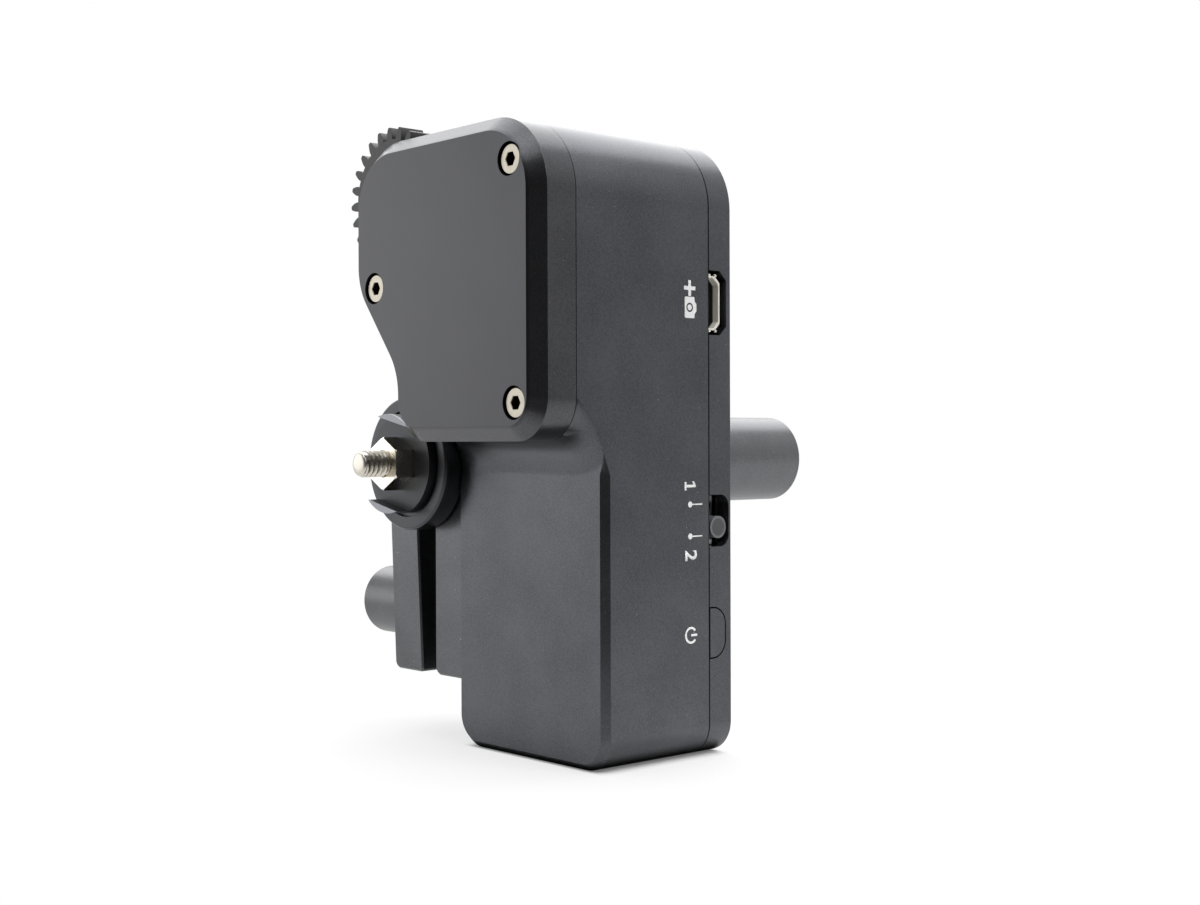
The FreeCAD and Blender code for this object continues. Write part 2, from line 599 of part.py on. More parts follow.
def outline(drawing, corners):
    """A closed outline, drawn anticlockwise. A corner is (x, y) or, when rounded, (x, y, radius).

    Sharp construction lines hold the corners, and the drawn lines and arcs lie on them."""
    count = len(corners)
    points = [V(number(corner[0]), number(corner[1]), 0) for corner in corners]
    radii = [corner[2] if len(corner) > 2 else None for corner in corners]
    starts, ends, arcs = [], [], []
    for i, radius in enumerate(radii):
        back_way = (points[i - 1] - points[i]).normalize()
        on_way = (points[(i + 1) % count] - points[i]).normalize()
        if radius is None:
            starts.append(points[i])
            ends.append(points[i])
            arcs.append(None)
            continue
        half = back_way.getAngle(on_way) / 2
        reach = number(radius) / math.tan(half)
        middle = points[i] + (back_way + on_way).normalize() * (number(radius) / math.sin(half))
        first = points[i] + back_way * reach
        last = points[i] + on_way * reach
        ends.append(first)
        starts.append(last)
        convex = back_way.cross(on_way).z < 0
        first_angle = math.atan2(first.y - middle.y, first.x - middle.x)
        last_angle = math.atan2(last.y - middle.y, last.x - middle.x)
        turn = (first_angle, last_angle) if convex else (last_angle, first_angle)
        arcs.append((middle, turn, convex))
    guides, lines = [], []
    rounded = any(radius is not None for radius in radii)
    for i in range(count):
        following = (i + 1) % count
        if rounded:
            guide = drawing.addGeometry(Part.LineSegment(points[i], points[following]), True)
            pin_point(drawing, guide, 1, *corners[i][:2])
            pin_point(drawing, guide, 2, *corners[following][:2])
            guides.append(guide)
        lines.append(drawing.addGeometry(Part.LineSegment(starts[i], ends[following]), False))
        if not rounded:
            pin_point(drawing, lines[i], 1, *corners[i][:2])
    for i in range(count):
        before, after = lines[i - 1], lines[i]
        if rounded:
            for end in (1, 2):
                drawing.addConstraint(
                    Sketcher.Constraint("PointOnObject", after, end, guides[i]))
        if arcs[i] is None:
            drawing.addConstraint(Sketcher.Constraint("Coincident", before, 2, after, 1))
            continue
        middle, turn, convex = arcs[i]
        ring = Part.Circle(middle, V(0, 0, 1), number(radii[i]))
        arc = drawing.addGeometry(Part.ArcOfCircle(ring, *turn), False)
        near, far = (1, 2) if convex else (2, 1)
        drawing.addConstraint(Sketcher.Constraint("Tangent", before, 2, arc, near))
        drawing.addConstraint(Sketcher.Constraint("Tangent", arc, far, after, 1))
        fix(drawing, "Radius", arc, radii[i])


def rectangle(drawing, low_x, low_y, high_x, high_y, *radii):
    """An upright rectangle. Radii go anticlockwise from the lower left corner."""
    corners = [(low_x, low_y), (high_x, low_y), (high_x, high_y), (low_x, high_y)]
    if len(radii) == 1:
        radii = radii * 4
    outline(drawing, [corner + (radius,) for corner, radius in zip(corners, radii)]
            if radii else corners)


def pad(body, drawing, length, forwards):
    """Adds material from the sketch, along its normal when forwards. An XZ sketch faces -Y."""
    feature = body.newObject("PartDesign::Pad", "pad")
    feature.Profile = drawing
    feature.Reversed = not forwards
    bind(feature, "Length", length)
    doc.recompute()
    return feature


def pocket(body, drawing, length, forwards):
    """Cuts from the sketch, along its normal when forwards."""
    before = body.Shape.Volume
    feature = body.newObject("PartDesign::Pocket", "pocket")
    feature.Profile = drawing
    feature.Reversed = forwards
    bind(feature, "Length", length)
    doc.recompute()
    if not body.Shape.Volume < before:
        raise ValueError(f"a pocket in {body.Label} cuts nothing")
    return feature


def edges_where(shape, test):
    """Names of the edges whose every point that is looked at passes the test."""
    names = []
    for index, edge in enumerate(shape.Edges, 1):
        middle = edge.valueAt((edge.FirstParameter + edge.LastParameter) / 2)
        if all(test(point) for point in [middle] + [corner.Point for corner in edge.Vertexes]):
            names.append(f"Edge{index}")
    return names


def bevel(body, size, test):
    feature = body.newObject("PartDesign::Chamfer", "bevel")
    base = body.Group[-2]
    feature.Base = (base, edges_where(base.Shape, test))
    bind(feature, "Size", size)
    doc.recompute()
    return feature


def level_with(axis, level):
    """A test for points that lie in one plane across an axis."""
    return lambda point: abs(getattr(point, axis) - number(level)) < 1e-4


# ---------------------------------------------------------------- gear teeth

def tooth_outline(teeth, module, tip, foot, thinned, angle):
    """A face in the XZ plane with involute teeth. angle, anticlockwise seen from -Y, is the
    direction of one tooth's middle. tip and foot are radii, and thinned is taken off a flank."""
    pitch = teeth * module / 2
    base = pitch * math.cos(math.radians(20))

    def roll(radius):
        slope = math.acos(min(1.0, base / radius))
        return math.tan(slope) - slope

    def half_angle(radius):
        return math.pi / (2 * teeth) - thinned / pitch + roll(pitch) - roll(max(radius, base))

    def spot(radius, turn):
        return V(radius * math.cos(turn), 0, radius * math.sin(turn))

    start = max(base, foot) + 1e-3
    halfway = (start + tip) / 2
    step = 2 * math.pi / teeth
    edges = []
    for tooth in range(teeth):
        middle = angle + tooth * step
        rising = [spot(r, middle - half_angle(r)) for r in (foot, start, halfway, tip)]
        falling = [spot(r, middle + half_angle(r)) for r in (tip, halfway, start, foot)]
        if (rising[0] - rising[1]).Length > 0.01:
            edges.append(Part.LineSegment(rising[0], rising[1]).toShape())
            rising = rising[1:]
        else:
            rising = [rising[0]] + rising[2:]
        edges.append(Part.Arc(*rising).toShape())
        edges.append(Part.Arc(rising[-1], spot(tip, middle), falling[0]).toShape())
        if (falling[2] - falling[3]).Length > 0.01:
            edges.append(Part.Arc(*falling[:3]).toShape())
            edges.append(Part.LineSegment(falling[2], falling[3]).toShape())
        else:
            edges.append(Part.Arc(falling[0], falling[1], falling[3]).toShape())
        onward = spot(foot, middle + step - half_angle(foot))
        edges.append(Part.Arc(falling[3], spot(foot, middle + step / 2), onward).toShape())
    return Part.Face(Part.Wire(edges))


def gear(teeth, module, width, bore, angle, thinned):
    """A spur gear whose front face lies in the XZ plane."""
    teeth, module = round(number(teeth)), number(module)
    pitch = teeth * module / 2
    face = tooth_outline(teeth, module, pitch + module, pitch - 1.2 * module, thinned, angle)
    solid = face.extrude(V(0, number(width), 0))
    hole = Part.makeCylinder(number(bore), number(width), V(), V(0, 1, 0))
    return solid.cut(hole)


def held_shape(name, shape, x, y, z):
    """A sub-part whose shape is worked out here from the sheet's sizes."""
    feature = doc.addObject("Part::Feature", name)
    feature.Shape = shape
    place(feature, x, y, z)
    return node(name, feature)


def direction(from_x, from_z, to_x, to_z):
    return math.atan2(number(to_z) - number(from_z), number(to_x) - number(from_x))


def meshing_angle(heading, angle, teeth, other_teeth):
    """Where the next gear's tooth stands, when it lies in the given heading from this one."""
    phase = (heading - angle) * teeth / (2 * math.pi)
    return heading + math.pi - (0.5 - phase) * 2 * math.pi / other_teeth


# ---------------------------------------------------------------- housing and covers

def gearbox_outline(drawing):
    """The S-shaped outline that the gear cover and the housing's gearbox face share."""
    outline(drawing, [
        (left, gear_cover_foot, d.foot_corner),
        (right, gear_cover_foot, d.foot_corner),
        (right, top, d.top_corner),
        (overhang, top, d.overhang_corner),
        (overhang, shoulder_top, d.shoulder_round),
        (left, shoulder_foot, d.recess_round),
    ])


def housing_outline(drawing, inset):
    rectangle(drawing, left + inset, inset, right - inset, top - inset,
              d.bottom_corner - inset, d.bottom_corner - inset,
              d.top_corner - inset, d.top_corner - inset)


def under_gearbox():
    """The hollow fillet that leads from the lower front face up to the gearbox."""
    run = d.gear_step
    foot = gear_cover_foot
    turn_z = foot + d.foot_corner
    depth = d.gear_step + d.fillet_root
    straight = box((left + d.foot_corner, cover_seam, foot - run),
                   (right - d.foot_corner, front + d.fillet_root, turn_z))
    hollow = rod("x", (left + d.foot_corner, cover_seam, foot - run), run,
                 d.housing_width - 2 * d.foot_corner)
    pieces = [without(straight, hollow)]
    for x in (left + d.foot_corner, right - d.foot_corner):
        disc = rod("y", (x, cover_seam, turn_z), d.foot_corner + run, depth)
        ring = doc.addObject("Part::Torus", "torus")
        bind(ring, "Radius1", d.foot_corner + run)
        bind(ring, "Radius2", run)
        place(ring, x, cover_seam, turn_z, AXES["y"])
        pieces.append(without(disc, ring))
    limit = box((left, cover_seam, foot - run), (right, front + d.fillet_root, turn_z))
    return overlap(fused(*pieces), limit)


def side_bevel_runout(side):
    """What is cut off above bevel_start, so that the side bevel dies out along the fillet."""
    edge = side * number(right)
    inner = V(edge - side * number(d.front_bevel), number(front), number(bevel_start))
    outer = V(edge, number(front + d.front_bevel), number(bevel_start))
    ending = V(edge, number(front - d.runout_depth), number(bevel_start + d.bevel_runout))
    upward = (ending - outer).normalize()
    outward = (outer - inner).cross(upward).normalize()
    if outward.x * side < 0:
        outward = -outward
    turn = FreeCAD.Rotation(upward.cross(outward), upward, outward, "XYZ")
    block = doc.addObject("Part::Box", "runout")
    bind(block, "Length", 4 * d.bevel_runout)
    bind(block, "Width", 3 * d.bevel_runout)
    bind(block, "Height", d.bevel_runout)
    start = turn.multVec(V(-2 * number(d.bevel_runout), -number(d.bevel_runout), 0))
    place(block, outer.x + start.x, outer.y + start.y, outer.z + start.z, turn)
    around = 3 * d.front_bevel
    limit = box((edge - around, cover_seam - around, bevel_start),
                (edge + around, front + around, bevel_start + d.bevel_runout))
    return overlap(block, limit)


def main_housing():
    body = new_body()
    drawing = sketch(body, "y", front)
    housing_outline(drawing, as_size(0))
    pad(body, drawing, back_seam - front, forwards=False)
    bevel(body, d.front_bevel, level_with("y", front))
    drawing = sketch(body, "y", cover_seam)
    gearbox_outline(drawing)
    pad(body, drawing, d.ear_depth, forwards=False)

    # The side bevels are filled where the hollow fillet stands on them, and then die out.
    fillers = [box((x, front, bevel_start),
                   (x + d.front_bevel, front + d.front_bevel, shoulder_foot))
               for x in (left, right - d.front_bevel)]
    shell = fused(body, under_gearbox(), *fillers)
    shell = without(shell, side_bevel_runout(1), side_bevel_runout(-1))

    room = new_body()
    drawing = sketch(room, "y", front + d.wall)
    housing_outline(drawing, d.wall)
    pad(room, drawing, back_seam - front - d.wall, forwards=False)
    drawing = sketch(room, "y", web_back)
    rectangle(drawing, left + d.wall, gear_cover_foot + d.wall, inner_right, top - d.wall,
              d.room_corner, d.room_corner, d.top_corner - d.wall, d.top_corner - d.wall)
    pad(room, drawing, back_seam - web_back, forwards=False)
    inside_front = front + d.wall
    posts = [screw_post(x, z, inside_front, d.corner_post_radius, back_seam)
             for x, z in LOWER_POSTS]
    posts += [screw_post(x, z, web_back, d.corner_post_radius, back_seam)
              for x, z in UPPER_POSTS]
    posts += [screw_post(x, z, inside_front, d.post_radius, board_front)
              for x, z in BOARD_POSTS]
    posts.append(screw_post(*COVER_SCREWS[2], web_back, d.corner_post_radius,
                            cover_seam + d.ear_depth))
    shell = without(shell, without(room, *posts))

    tapped = d.small_screw_radius + d.close_gap
    holes = [rod("y", (x, cover_seam, z), d.cover_screw_radius + d.close_gap,
                 under_head + d.cover_screw_length + d.tap_spare - cover_seam)
             for x, z in COVER_SCREWS]
    holes += [rod("y", (x, back_seam - d.back_screw_length - d.tap_spare, z), tapped,
                  d.back_screw_length + d.tap_spare) for x, z in CORNER_POSTS]
    holes += [rod("y", (x, board_back - d.board_screw_length - d.tap_spare, z), tapped,
                  d.board_screw_length + d.tap_spare) for x, z in BOARD_POSTS]
    holes += [rod("x", (left - d.wall, y, z), d.clamp_fixing_radius + d.screw_pass, 3 * d.wall)
              for y, z in CLAMP_FIXINGS]
    # Bearing seat, idler pin, motor spigot and its screws, all from the gearbox face.
    holes.append(rod("y", (drive_x, cover_seam, drive_z), d.bearing_radius + d.close_gap,
                     d.bearing_width + d.face_gap))
    holes.append(rod("y", (drive_x, cover_seam, drive_z), d.bearing_radius - d.bearing_ledge,
                     d.bearing_width + d.shaft_room))
    holes.append(rod("y", (idler_x, cover_seam, idler_z), d.journal_radius,
                     d.web - d.pin_floor))
    holes.append(rod("y", (0, cover_seam, motor_z), d.spigot_radius + d.close_gap, d.web))
    for angle in MOTOR_SCREW_ANGLES:
        x = motor_screw_ring * math.cos(math.radians(angle))
        z = motor_z + motor_screw_ring * math.sin(math.radians(angle))
        holes.append(rod("y", (x, cover_seam, z), d.small_screw_radius + d.screw_pass, d.web))
        holes.append(taper("y", (x, cover_seam, z), d.small_head_radius,
                           d.small_screw_radius, d.small_head_length))
    # The stop ring stands in a shallow round relief in the left edge.
    holes.append(rod("y", (rod_x, cover_seam, rod_z), d.ring_radius + d.free_gap,
                     ring_back - cover_seam + d.ring_gap))
    return node("main_housing", without(shell, *holes))


def gear_cover():
    body = new_body()
    drawing = sketch(body, "y", cover_front)
    gearbox_outline(drawing)
    pad(body, drawing, d.gear_cover_depth, forwards=False)
    bevel(body, d.cover_bevel, level_with("y", cover_front))
    gears = [(drive_x, drive_z, drive_radius), (idler_x, idler_z, idler_radius),
             (as_size(0), motor_z, motor_radius)]
    inside = cover_front + d.cover_plate
    tools = [rod("y", (x, inside, z), radius + d.lens_module + 2 * d.free_gap,
                 cover_seam - inside) for x, z, radius in gears]
    for x, z in COVER_SCREWS:
        tools.append(rod("y", (x, cover_front, z), d.cover_head_radius + d.head_gap,
                         d.cover_head_length + d.head_recess))
        tools.append(rod("y", (x, cover_front, z), d.cover_screw_radius + d.screw_pass,
                         d.gear_cover_depth))
    tools.append(rod("y", (drive_x, journal_front, drive_z),
                     d.journal_radius + d.bush_wall + d.close_gap, d.journal_depth))
    tools.append(rod("y", (idler_x, journal_front, idler_z), d.journal_radius + d.close_gap,
                     d.journal_depth))
    return node("gear_cover", without(body, *tools))


def back_cover():
    body = new_body()
    drawing = sketch(body, "y", back_seam)
    housing_outline(drawing, as_size(0))
    pad(body, drawing, d.back_cover_depth, forwards=False)
    bevel(body, d.back_bevel, level_with("y", back))
    drawing = sketch(body, "y", back_seam)
    housing_outline(drawing, d.wall)
    pocket(body, drawing, tray_inside - back_seam, forwards=False)

    # Notches for the socket, the slide switch and the power button, through the right wall.
    start = inner_right - d.notch_root
    drawing = sketch(body, "x", start)
    low = usb_z - d.usb_notch_length / 2
    high = usb_z + d.usb_notch_length / 2
    deep = back_seam + d.usb_notch_depth
    cut = d.usb_notch_corner
    outline(drawing, [(back_seam, low), (deep - cut, low), (deep, low + cut), (deep, high - cut),
                      (deep - cut, high), (back_seam, high)])
    pocket(body, drawing, right - start, forwards=True)
    for middle, length, depth, corner in (
            (d.switch_z, d.switch_window, d.switch_window_depth, d.switch_corner),
            (d.button_z, d.button_length + 2 * d.button_gap, d.button_depth + d.button_gap,
             d.button_corner + d.button_gap)):
        drawing = sketch(body, "x", start)
        outline(drawing, [(back_seam, middle - length / 2),
                          (back_seam + depth, middle - length / 2, corner),
                          (back_seam + depth, middle + length / 2, corner),
                          (back_seam, middle + length / 2)])
        pocket(body, drawing, right - start, forwards=True)
    # Room inside for the button's flange.
    half = d.button_length / 2 + d.button_grow + d.flange_room
    deep = d.button_gap + d.button_flange + d.button_travel + d.free_gap
    tools = [box((inner_right - deep, back_seam, d.button_z - half),
                 (inner_right + d.button_gap, tray_inside + d.flange_room, d.button_z + half))]
    posts = []
    for x, z in CORNER_POSTS:
        posts.append(rod("y", (x, back_seam, z), d.corner_post_radius,
                         d.back_cover_depth - d.back_bevel))
        tools.append(rod("y", (x, back_seam, z), d.small_screw_radius + d.screw_pass,
                         d.back_cover_depth))
        tools.append(taper("y", (x, back - d.small_head_length, z), d.small_screw_radius,
                           d.small_head_radius, d.small_head_length))
    return node("back_cover", without(fused(body, *posts), *tools))


# ---------------------------------------------------------------- screws

def cap_screw(x, z):
    """A gear cover screw: low cylinder head with a hex socket."""
    head = rod("y", (x, cover_front + d.head_recess, z), d.cover_head_radius,
               d.cover_head_length)
    shank = rod("y", (x, under_head, z), d.cover_screw_radius, d.cover_screw_length)
    socket = hexagon("y", (x, cover_front, z), d.cover_socket,
                     d.head_recess + d.cover_socket_depth)
    return without(fused(head, shank), socket)


def countersunk_screw(x, z, face, towards, length):
    """An M2 screw whose flush head lies at face. towards is the way the screw points along Y."""
    head_depth = d.small_head_length
    socket_depth = d.small_socket_depth
    if towards > 0:
        head = taper("y", (x, face, z), d.small_head_radius, d.small_screw_radius, head_depth)
        shank = rod("y", (x, face, z), d.small_screw_radius, length)
        socket = hexagon("y", (x, face, z), d.small_socket, socket_depth)
    else:
        head = taper("y", (x, face - head_depth, z), d.small_screw_radius,
                     d.small_head_radius, head_depth)
        shank = rod("y", (x, face - length, z), d.small_screw_radius, length)
        socket = hexagon("y", (x, face - socket_depth, z), d.small_socket, socket_depth)
    return without(fused(head, shank), socket)


def cross_screw(x, z):
    """A screw of the circuit board, with a cross recess."""
    face = board_back + d.small_head_length
    head = rod("y", (x, board_back, z), d.small_head_radius, d.small_head_length)
    shank = rod("y", (x, board_back - d.board_screw_length, z), d.small_screw_radius,
                d.board_screw_length)
    half_length, half_width = d.cross_length / 2, d.cross_width / 2
    recess = [box((x - across, face - d.cross_depth, z - up), (x + across, face, z + up))
              for across, up in ((half_length, half_width), (half_width, half_length))]
    return without(fused(head, shank), *recess)


def clamp_fixing(y, z):
    """A screw that holds the clamp block from inside the housing."""
    inside = left + d.wall
    head = rod("x", (inside, y, z), d.clamp_fixing_head, d.clamp_head_length)
    shank = rod("x", (left - d.clamp_fixing_length, y, z), d.clamp_fixing_radius,
                d.clamp_fixing_length + d.wall)
    socket = hexagon("x", (inside + d.clamp_head_length - d.clamp_socket_depth, y, z),
                     d.clamp_socket, d.clamp_socket_depth)
    return without(fused(head, shank), socket)


def screws():
    node("cover_screws", group(cap_screw(x, z) for x, z in COVER_SCREWS))
    node("back_cover_screws", group(
        countersunk_screw(x, z, back, -1, d.back_cover_depth + d.back_screw_length)
        for x, z in CORNER_POSTS))
    node("motor_screws", group(
        countersunk_screw(motor_screw_ring * math.cos(math.radians(angle)),
                          motor_z + motor_screw_ring * math.sin(math.radians(angle)),
                          cover_seam, 1, d.web + d.case_front - d.face_gap)
        for angle in MOTOR_SCREW_ANGLES))
    node("board_screws", group(cross_screw(x, z) for x, z in BOARD_POSTS))
    node("clamp_block_screws", group(clamp_fixing(y, z) for y, z in CLAMP_FIXINGS))


# ---------------------------------------------------------------- clamp and rod

def clamp_block():
    body = new_body()
    drawing = sketch(body, "y", clamp_front)
    crown = rod_z + clamp_round
    inward = d.clamp_squeeze
    low = d.clamp_foot
    outline(drawing, [
        (left, low),
        (left, crown),
        (leaf_outside, crown, clamp_round),
        (leaf_outside, leaf_bend),
        (leaf_outside + inward, low, d.leaf_round),
        (leaf_outside + d.leaf_thickness + inward, low, d.leaf_round / 2),
        (slot_left, leaf_bend),
        (slot_left, rod_z - d.rod_radius / 2),
        (slot_right, rod_z - d.rod_radius / 2),
        (slot_right, low, d.leaf_round),
    ][::-1])
    pad(body, drawing, d.clamp_depth, forwards=False)
    for face in (clamp_front, clamp_back):
        at_face = level_with("y", face)
        bevel(body, d.clamp_bevel,
              lambda point: at_face(point) and point.x < number(left - d.clamp_bevel / 2))
    drawing = sketch(body, "y", clamp_front)
    circle(drawing, rod_x, rod_z, rod_bore)
    pocket(body, drawing, d.clamp_depth, forwards=False)
    tools = [
        rod("x", (leaf_seat - d.leaf_thickness, clamp_middle, d.clamp_screw_z),
            d.seat_radius, d.leaf_thickness),
        rod("x", (leaf_seat, clamp_middle, d.clamp_screw_z),
            d.clamp_screw_radius + d.clamp_screw_pass, rod_x - leaf_seat),
        rod("x", (rod_x, clamp_middle, d.clamp_screw_z), d.clamp_screw_radius + d.run_gap,
            d.clamp_slot / 2 + d.clamp_screw_bite + d.tap_spare),
    ]
    tools += [rod("x", (left - d.clamp_fixing_length - d.tap_spare, y, z),
                  d.clamp_fixing_radius + d.close_gap, d.clamp_fixing_length + d.tap_spare)
              for y, z in CLAMP_FIXINGS]
    return node("clamp_block", without(body, *tools))


def clamp_parts():
    knob_end = washer_outside - d.knob_length
    blank = new_body()
    drawing = sketch(blank, "x", knob_end)
    circle(drawing, clamp_middle, d.clamp_screw_z, d.knob_radius)
    pad(blank, drawing, d.knob_length, forwards=True)
    bevel(blank, d.knob_bevel, lambda point: level_with("x", knob_end)(point)
          or level_with("x", washer_outside)(point))
    start = washer_outside - d.knob_length / 2
    hole = rod("x", (start, clamp_middle, d.clamp_screw_z),
               d.clamp_screw_radius + d.close_gap, d.knob_length / 2)
    node("clamp_knob", without(blank, hole))
    node("clamp_screw", rod("x", (start, clamp_middle, d.clamp_screw_z), d.clamp_screw_radius,
                            slot_right + d.clamp_screw_bite - start))
    node("clamp_washer", pipe("x", (washer_outside, clamp_middle, d.clamp_screw_z),
                              d.washer_radius, d.clamp_screw_radius + d.screw_pass,
                              d.washer_thickness))


def mounting_rod():
    body = new_body()
    drawing = sketch(body, "y", tube_front)
    circle(drawing, rod_x, rod_z, d.rod_radius)
    pad(body, drawing, d.rod_length, forwards=False)
    bevel(body, d.rod_end_bevel, level_with("y", tube_back))
    bore = rod("y", (rod_x, tube_front, rod_z), d.rod_bore_radius,
               d.rod_length - d.rod_end_wall)
    return node("mounting_rod", without(body, bore))


def turned_block(name, half_length, half_height):
    """A block round the rod's axis at the keys, turned as the rod is in its clamp."""
    block = doc.addObject("Part::Box", name)
    bind(block, "Length", 2 * half_length)
    bind(block, "Width", d.key_height + 2 * d.key_root)
    bind(block, "Height", 2 * half_height)
    turn = FreeCAD.Rotation(V(0, 1, 0), number(d.key_turn))
    block.Placement = FreeCAD.Placement(V(), turn)
    corner = turn.multVec(V(-number(half_length), 0, -number(half_height)))
    place(block, rod_x + corner.x, head_front - d.key_height - d.key_root,
          rod_z + corner.z, turn)
    return block


def rod_head():
    """The front end of the rod: a disc with two crescent keys, a neck and a shank."""
    disc = rod("y", (rod_x, head_front, rod_z), d.rod_radius, d.head_length)
    neck = rod("y", (rod_x, head_front, rod_z), d.head_neck_radius, tube_front - head_front)
    shank = rod("y", (rod_x, head_front, rod_z), d.rod_bore_radius - d.close_gap,
                tube_front - head_front + d.head_shank_length)
    crown = rod("y", (rod_x, head_front - d.key_height, rod_z), d.rod_radius,
                d.key_height + d.key_root)
    half = d.rod_radius + d.key_root
    middle = turned_block("between_keys", half, d.key_chord)
    ends = turned_block("key_ends", d.key_reach, half)
    keys = overlap(without(crown, middle), ends)
    hole = rod("y", (rod_x, head_front - d.key_height, rod_z),
               d.stud_radius + d.close_gap, d.stud_depth + d.key_height)
    return node("rod_head", without(fused(disc, neck, shank, keys), hole))


def stop_ring():
    """The ring round the rod's front end. Its inner lip runs between rod head and tube."""
    body = new_body()
    drawing = sketch(body, "y", ring_front)
    circle(drawing, rod_x, rod_z, d.ring_radius)
    pad(body, drawing, d.ring_length, forwards=False)
    bevel(body, d.ring_bevel, lambda point: level_with("y", ring_front)(point)
          or level_with("y", ring_back)(point))
    lip_front = head_back + d.run_gap
    tools = [
        rod("y", (rod_x, ring_front, rod_z), d.rod_radius + d.ring_groove,
            lip_front - ring_front),
        rod("y", (rod_x, ring_front, rod_z), d.head_neck_radius + d.run_gap,
            d.ring_length),
        rod("y", (rod_x, lip_front + d.ring_lip, rod_z), rod_bore,
            ring_back - lip_front - d.ring_lip),
    ]
    return node("stop_ring", without(body, *tools))


def stud_and_nut():
    start = head_front - d.stud_reach
    point = taper("y", (rod_x, start, rod_z), d.stud_radius - d.stud_point, d.stud_radius,
                  d.stud_point)
    shaft = rod("y", (rod_x, start + d.stud_point, rod_z), d.stud_radius,
                d.stud_reach - d.stud_point + d.stud_depth)
    node("mounting_stud", fused(point, shaft))
    prism = hexagon("y", (rod_x, nut_front, rod_z), d.nut_flats, d.nut_thickness, 90)
    over_corners = d.nut_flats / math.sqrt(3) + d.close_gap
    nut_back = nut_front + d.nut_thickness
    rounding = fused(
        taper("y", (rod_x, nut_front, rod_z), over_corners - d.nut_corner_cut, over_corners,
              d.nut_corner_drop),
        rod("y", (rod_x, nut_front + d.nut_corner_drop, rod_z), over_corners,
            d.nut_thickness - 2 * d.nut_corner_drop),
        taper("y", (rod_x, nut_back - d.nut_corner_drop, rod_z), over_corners,
              over_corners - d.nut_corner_cut, d.nut_corner_drop))
    bore = rod("y", (rod_x, nut_front, rod_z), d.stud_radius + d.run_gap, d.nut_thickness)
    node("lock_nut", without(overlap(prism, rounding), bore))


# ---------------------------------------------------------------- gear train

def gear_train():
    drive_angle = math.radians(2)
    to_idler_heading = direction(drive_x, drive_z, idler_x, idler_z)
    idler_angle = meshing_angle(to_idler_heading, drive_angle, round(number(d.drive_teeth)),
                                number(d.idler_teeth))
    to_motor_heading = direction(idler_x, idler_z, 0, motor_z)
    motor_angle = meshing_angle(to_motor_heading, idler_angle, number(d.idler_teeth),
                                number(d.motor_teeth))
    thinned = 0.035
    bush = d.journal_radius + d.bush_wall
    held_shape("drive_gear", gear(d.drive_teeth, d.lens_module, d.gear_width,
                                  d.shaft_radius, drive_angle, thinned),
               drive_x, gear_front, drive_z)
    held_shape("idler_gear", gear(d.idler_teeth, d.lens_module, d.gear_width,
                                  bush, idler_angle, thinned),
               idler_x, gear_front, idler_z)
    held_shape("motor_gear", gear(d.motor_teeth, d.lens_module, d.gear_width,
                                  d.shaft_radius, motor_angle, thinned),
               as_size(0), gear_front, motor_z)

    node("idler_bush", pipe("y", (idler_x, gear_front, idler_z), bush,
                            d.journal_radius + d.run_gap, d.gear_width))
    pin_front = journal_front + d.face_gap
    node("idler_pin", rod("y", (idler_x, pin_front, idler_z), d.journal_radius,
                          web_back - d.pin_floor - pin_front))
    node("front_bush", pipe("y", (drive_x, journal_front, drive_z), bush,
                            d.journal_radius + d.run_gap, d.journal_depth - d.face_gap))
    node("drive_bearing", pipe("y", (drive_x, cover_seam + d.face_gap, drive_z),
                               d.bearing_radius, d.shaft_radius + d.run_gap, d.bearing_width))
    journal = rod("y", (drive_x, pin_front, drive_z), d.journal_radius,
                  gear_front - journal_front)
    shaft = rod("y", (drive_x, gear_front, drive_z), d.shaft_radius,
                cover_seam + d.bearing_width + d.shaft_end - gear_front)
    node("drive_shaft", fused(journal, shaft))


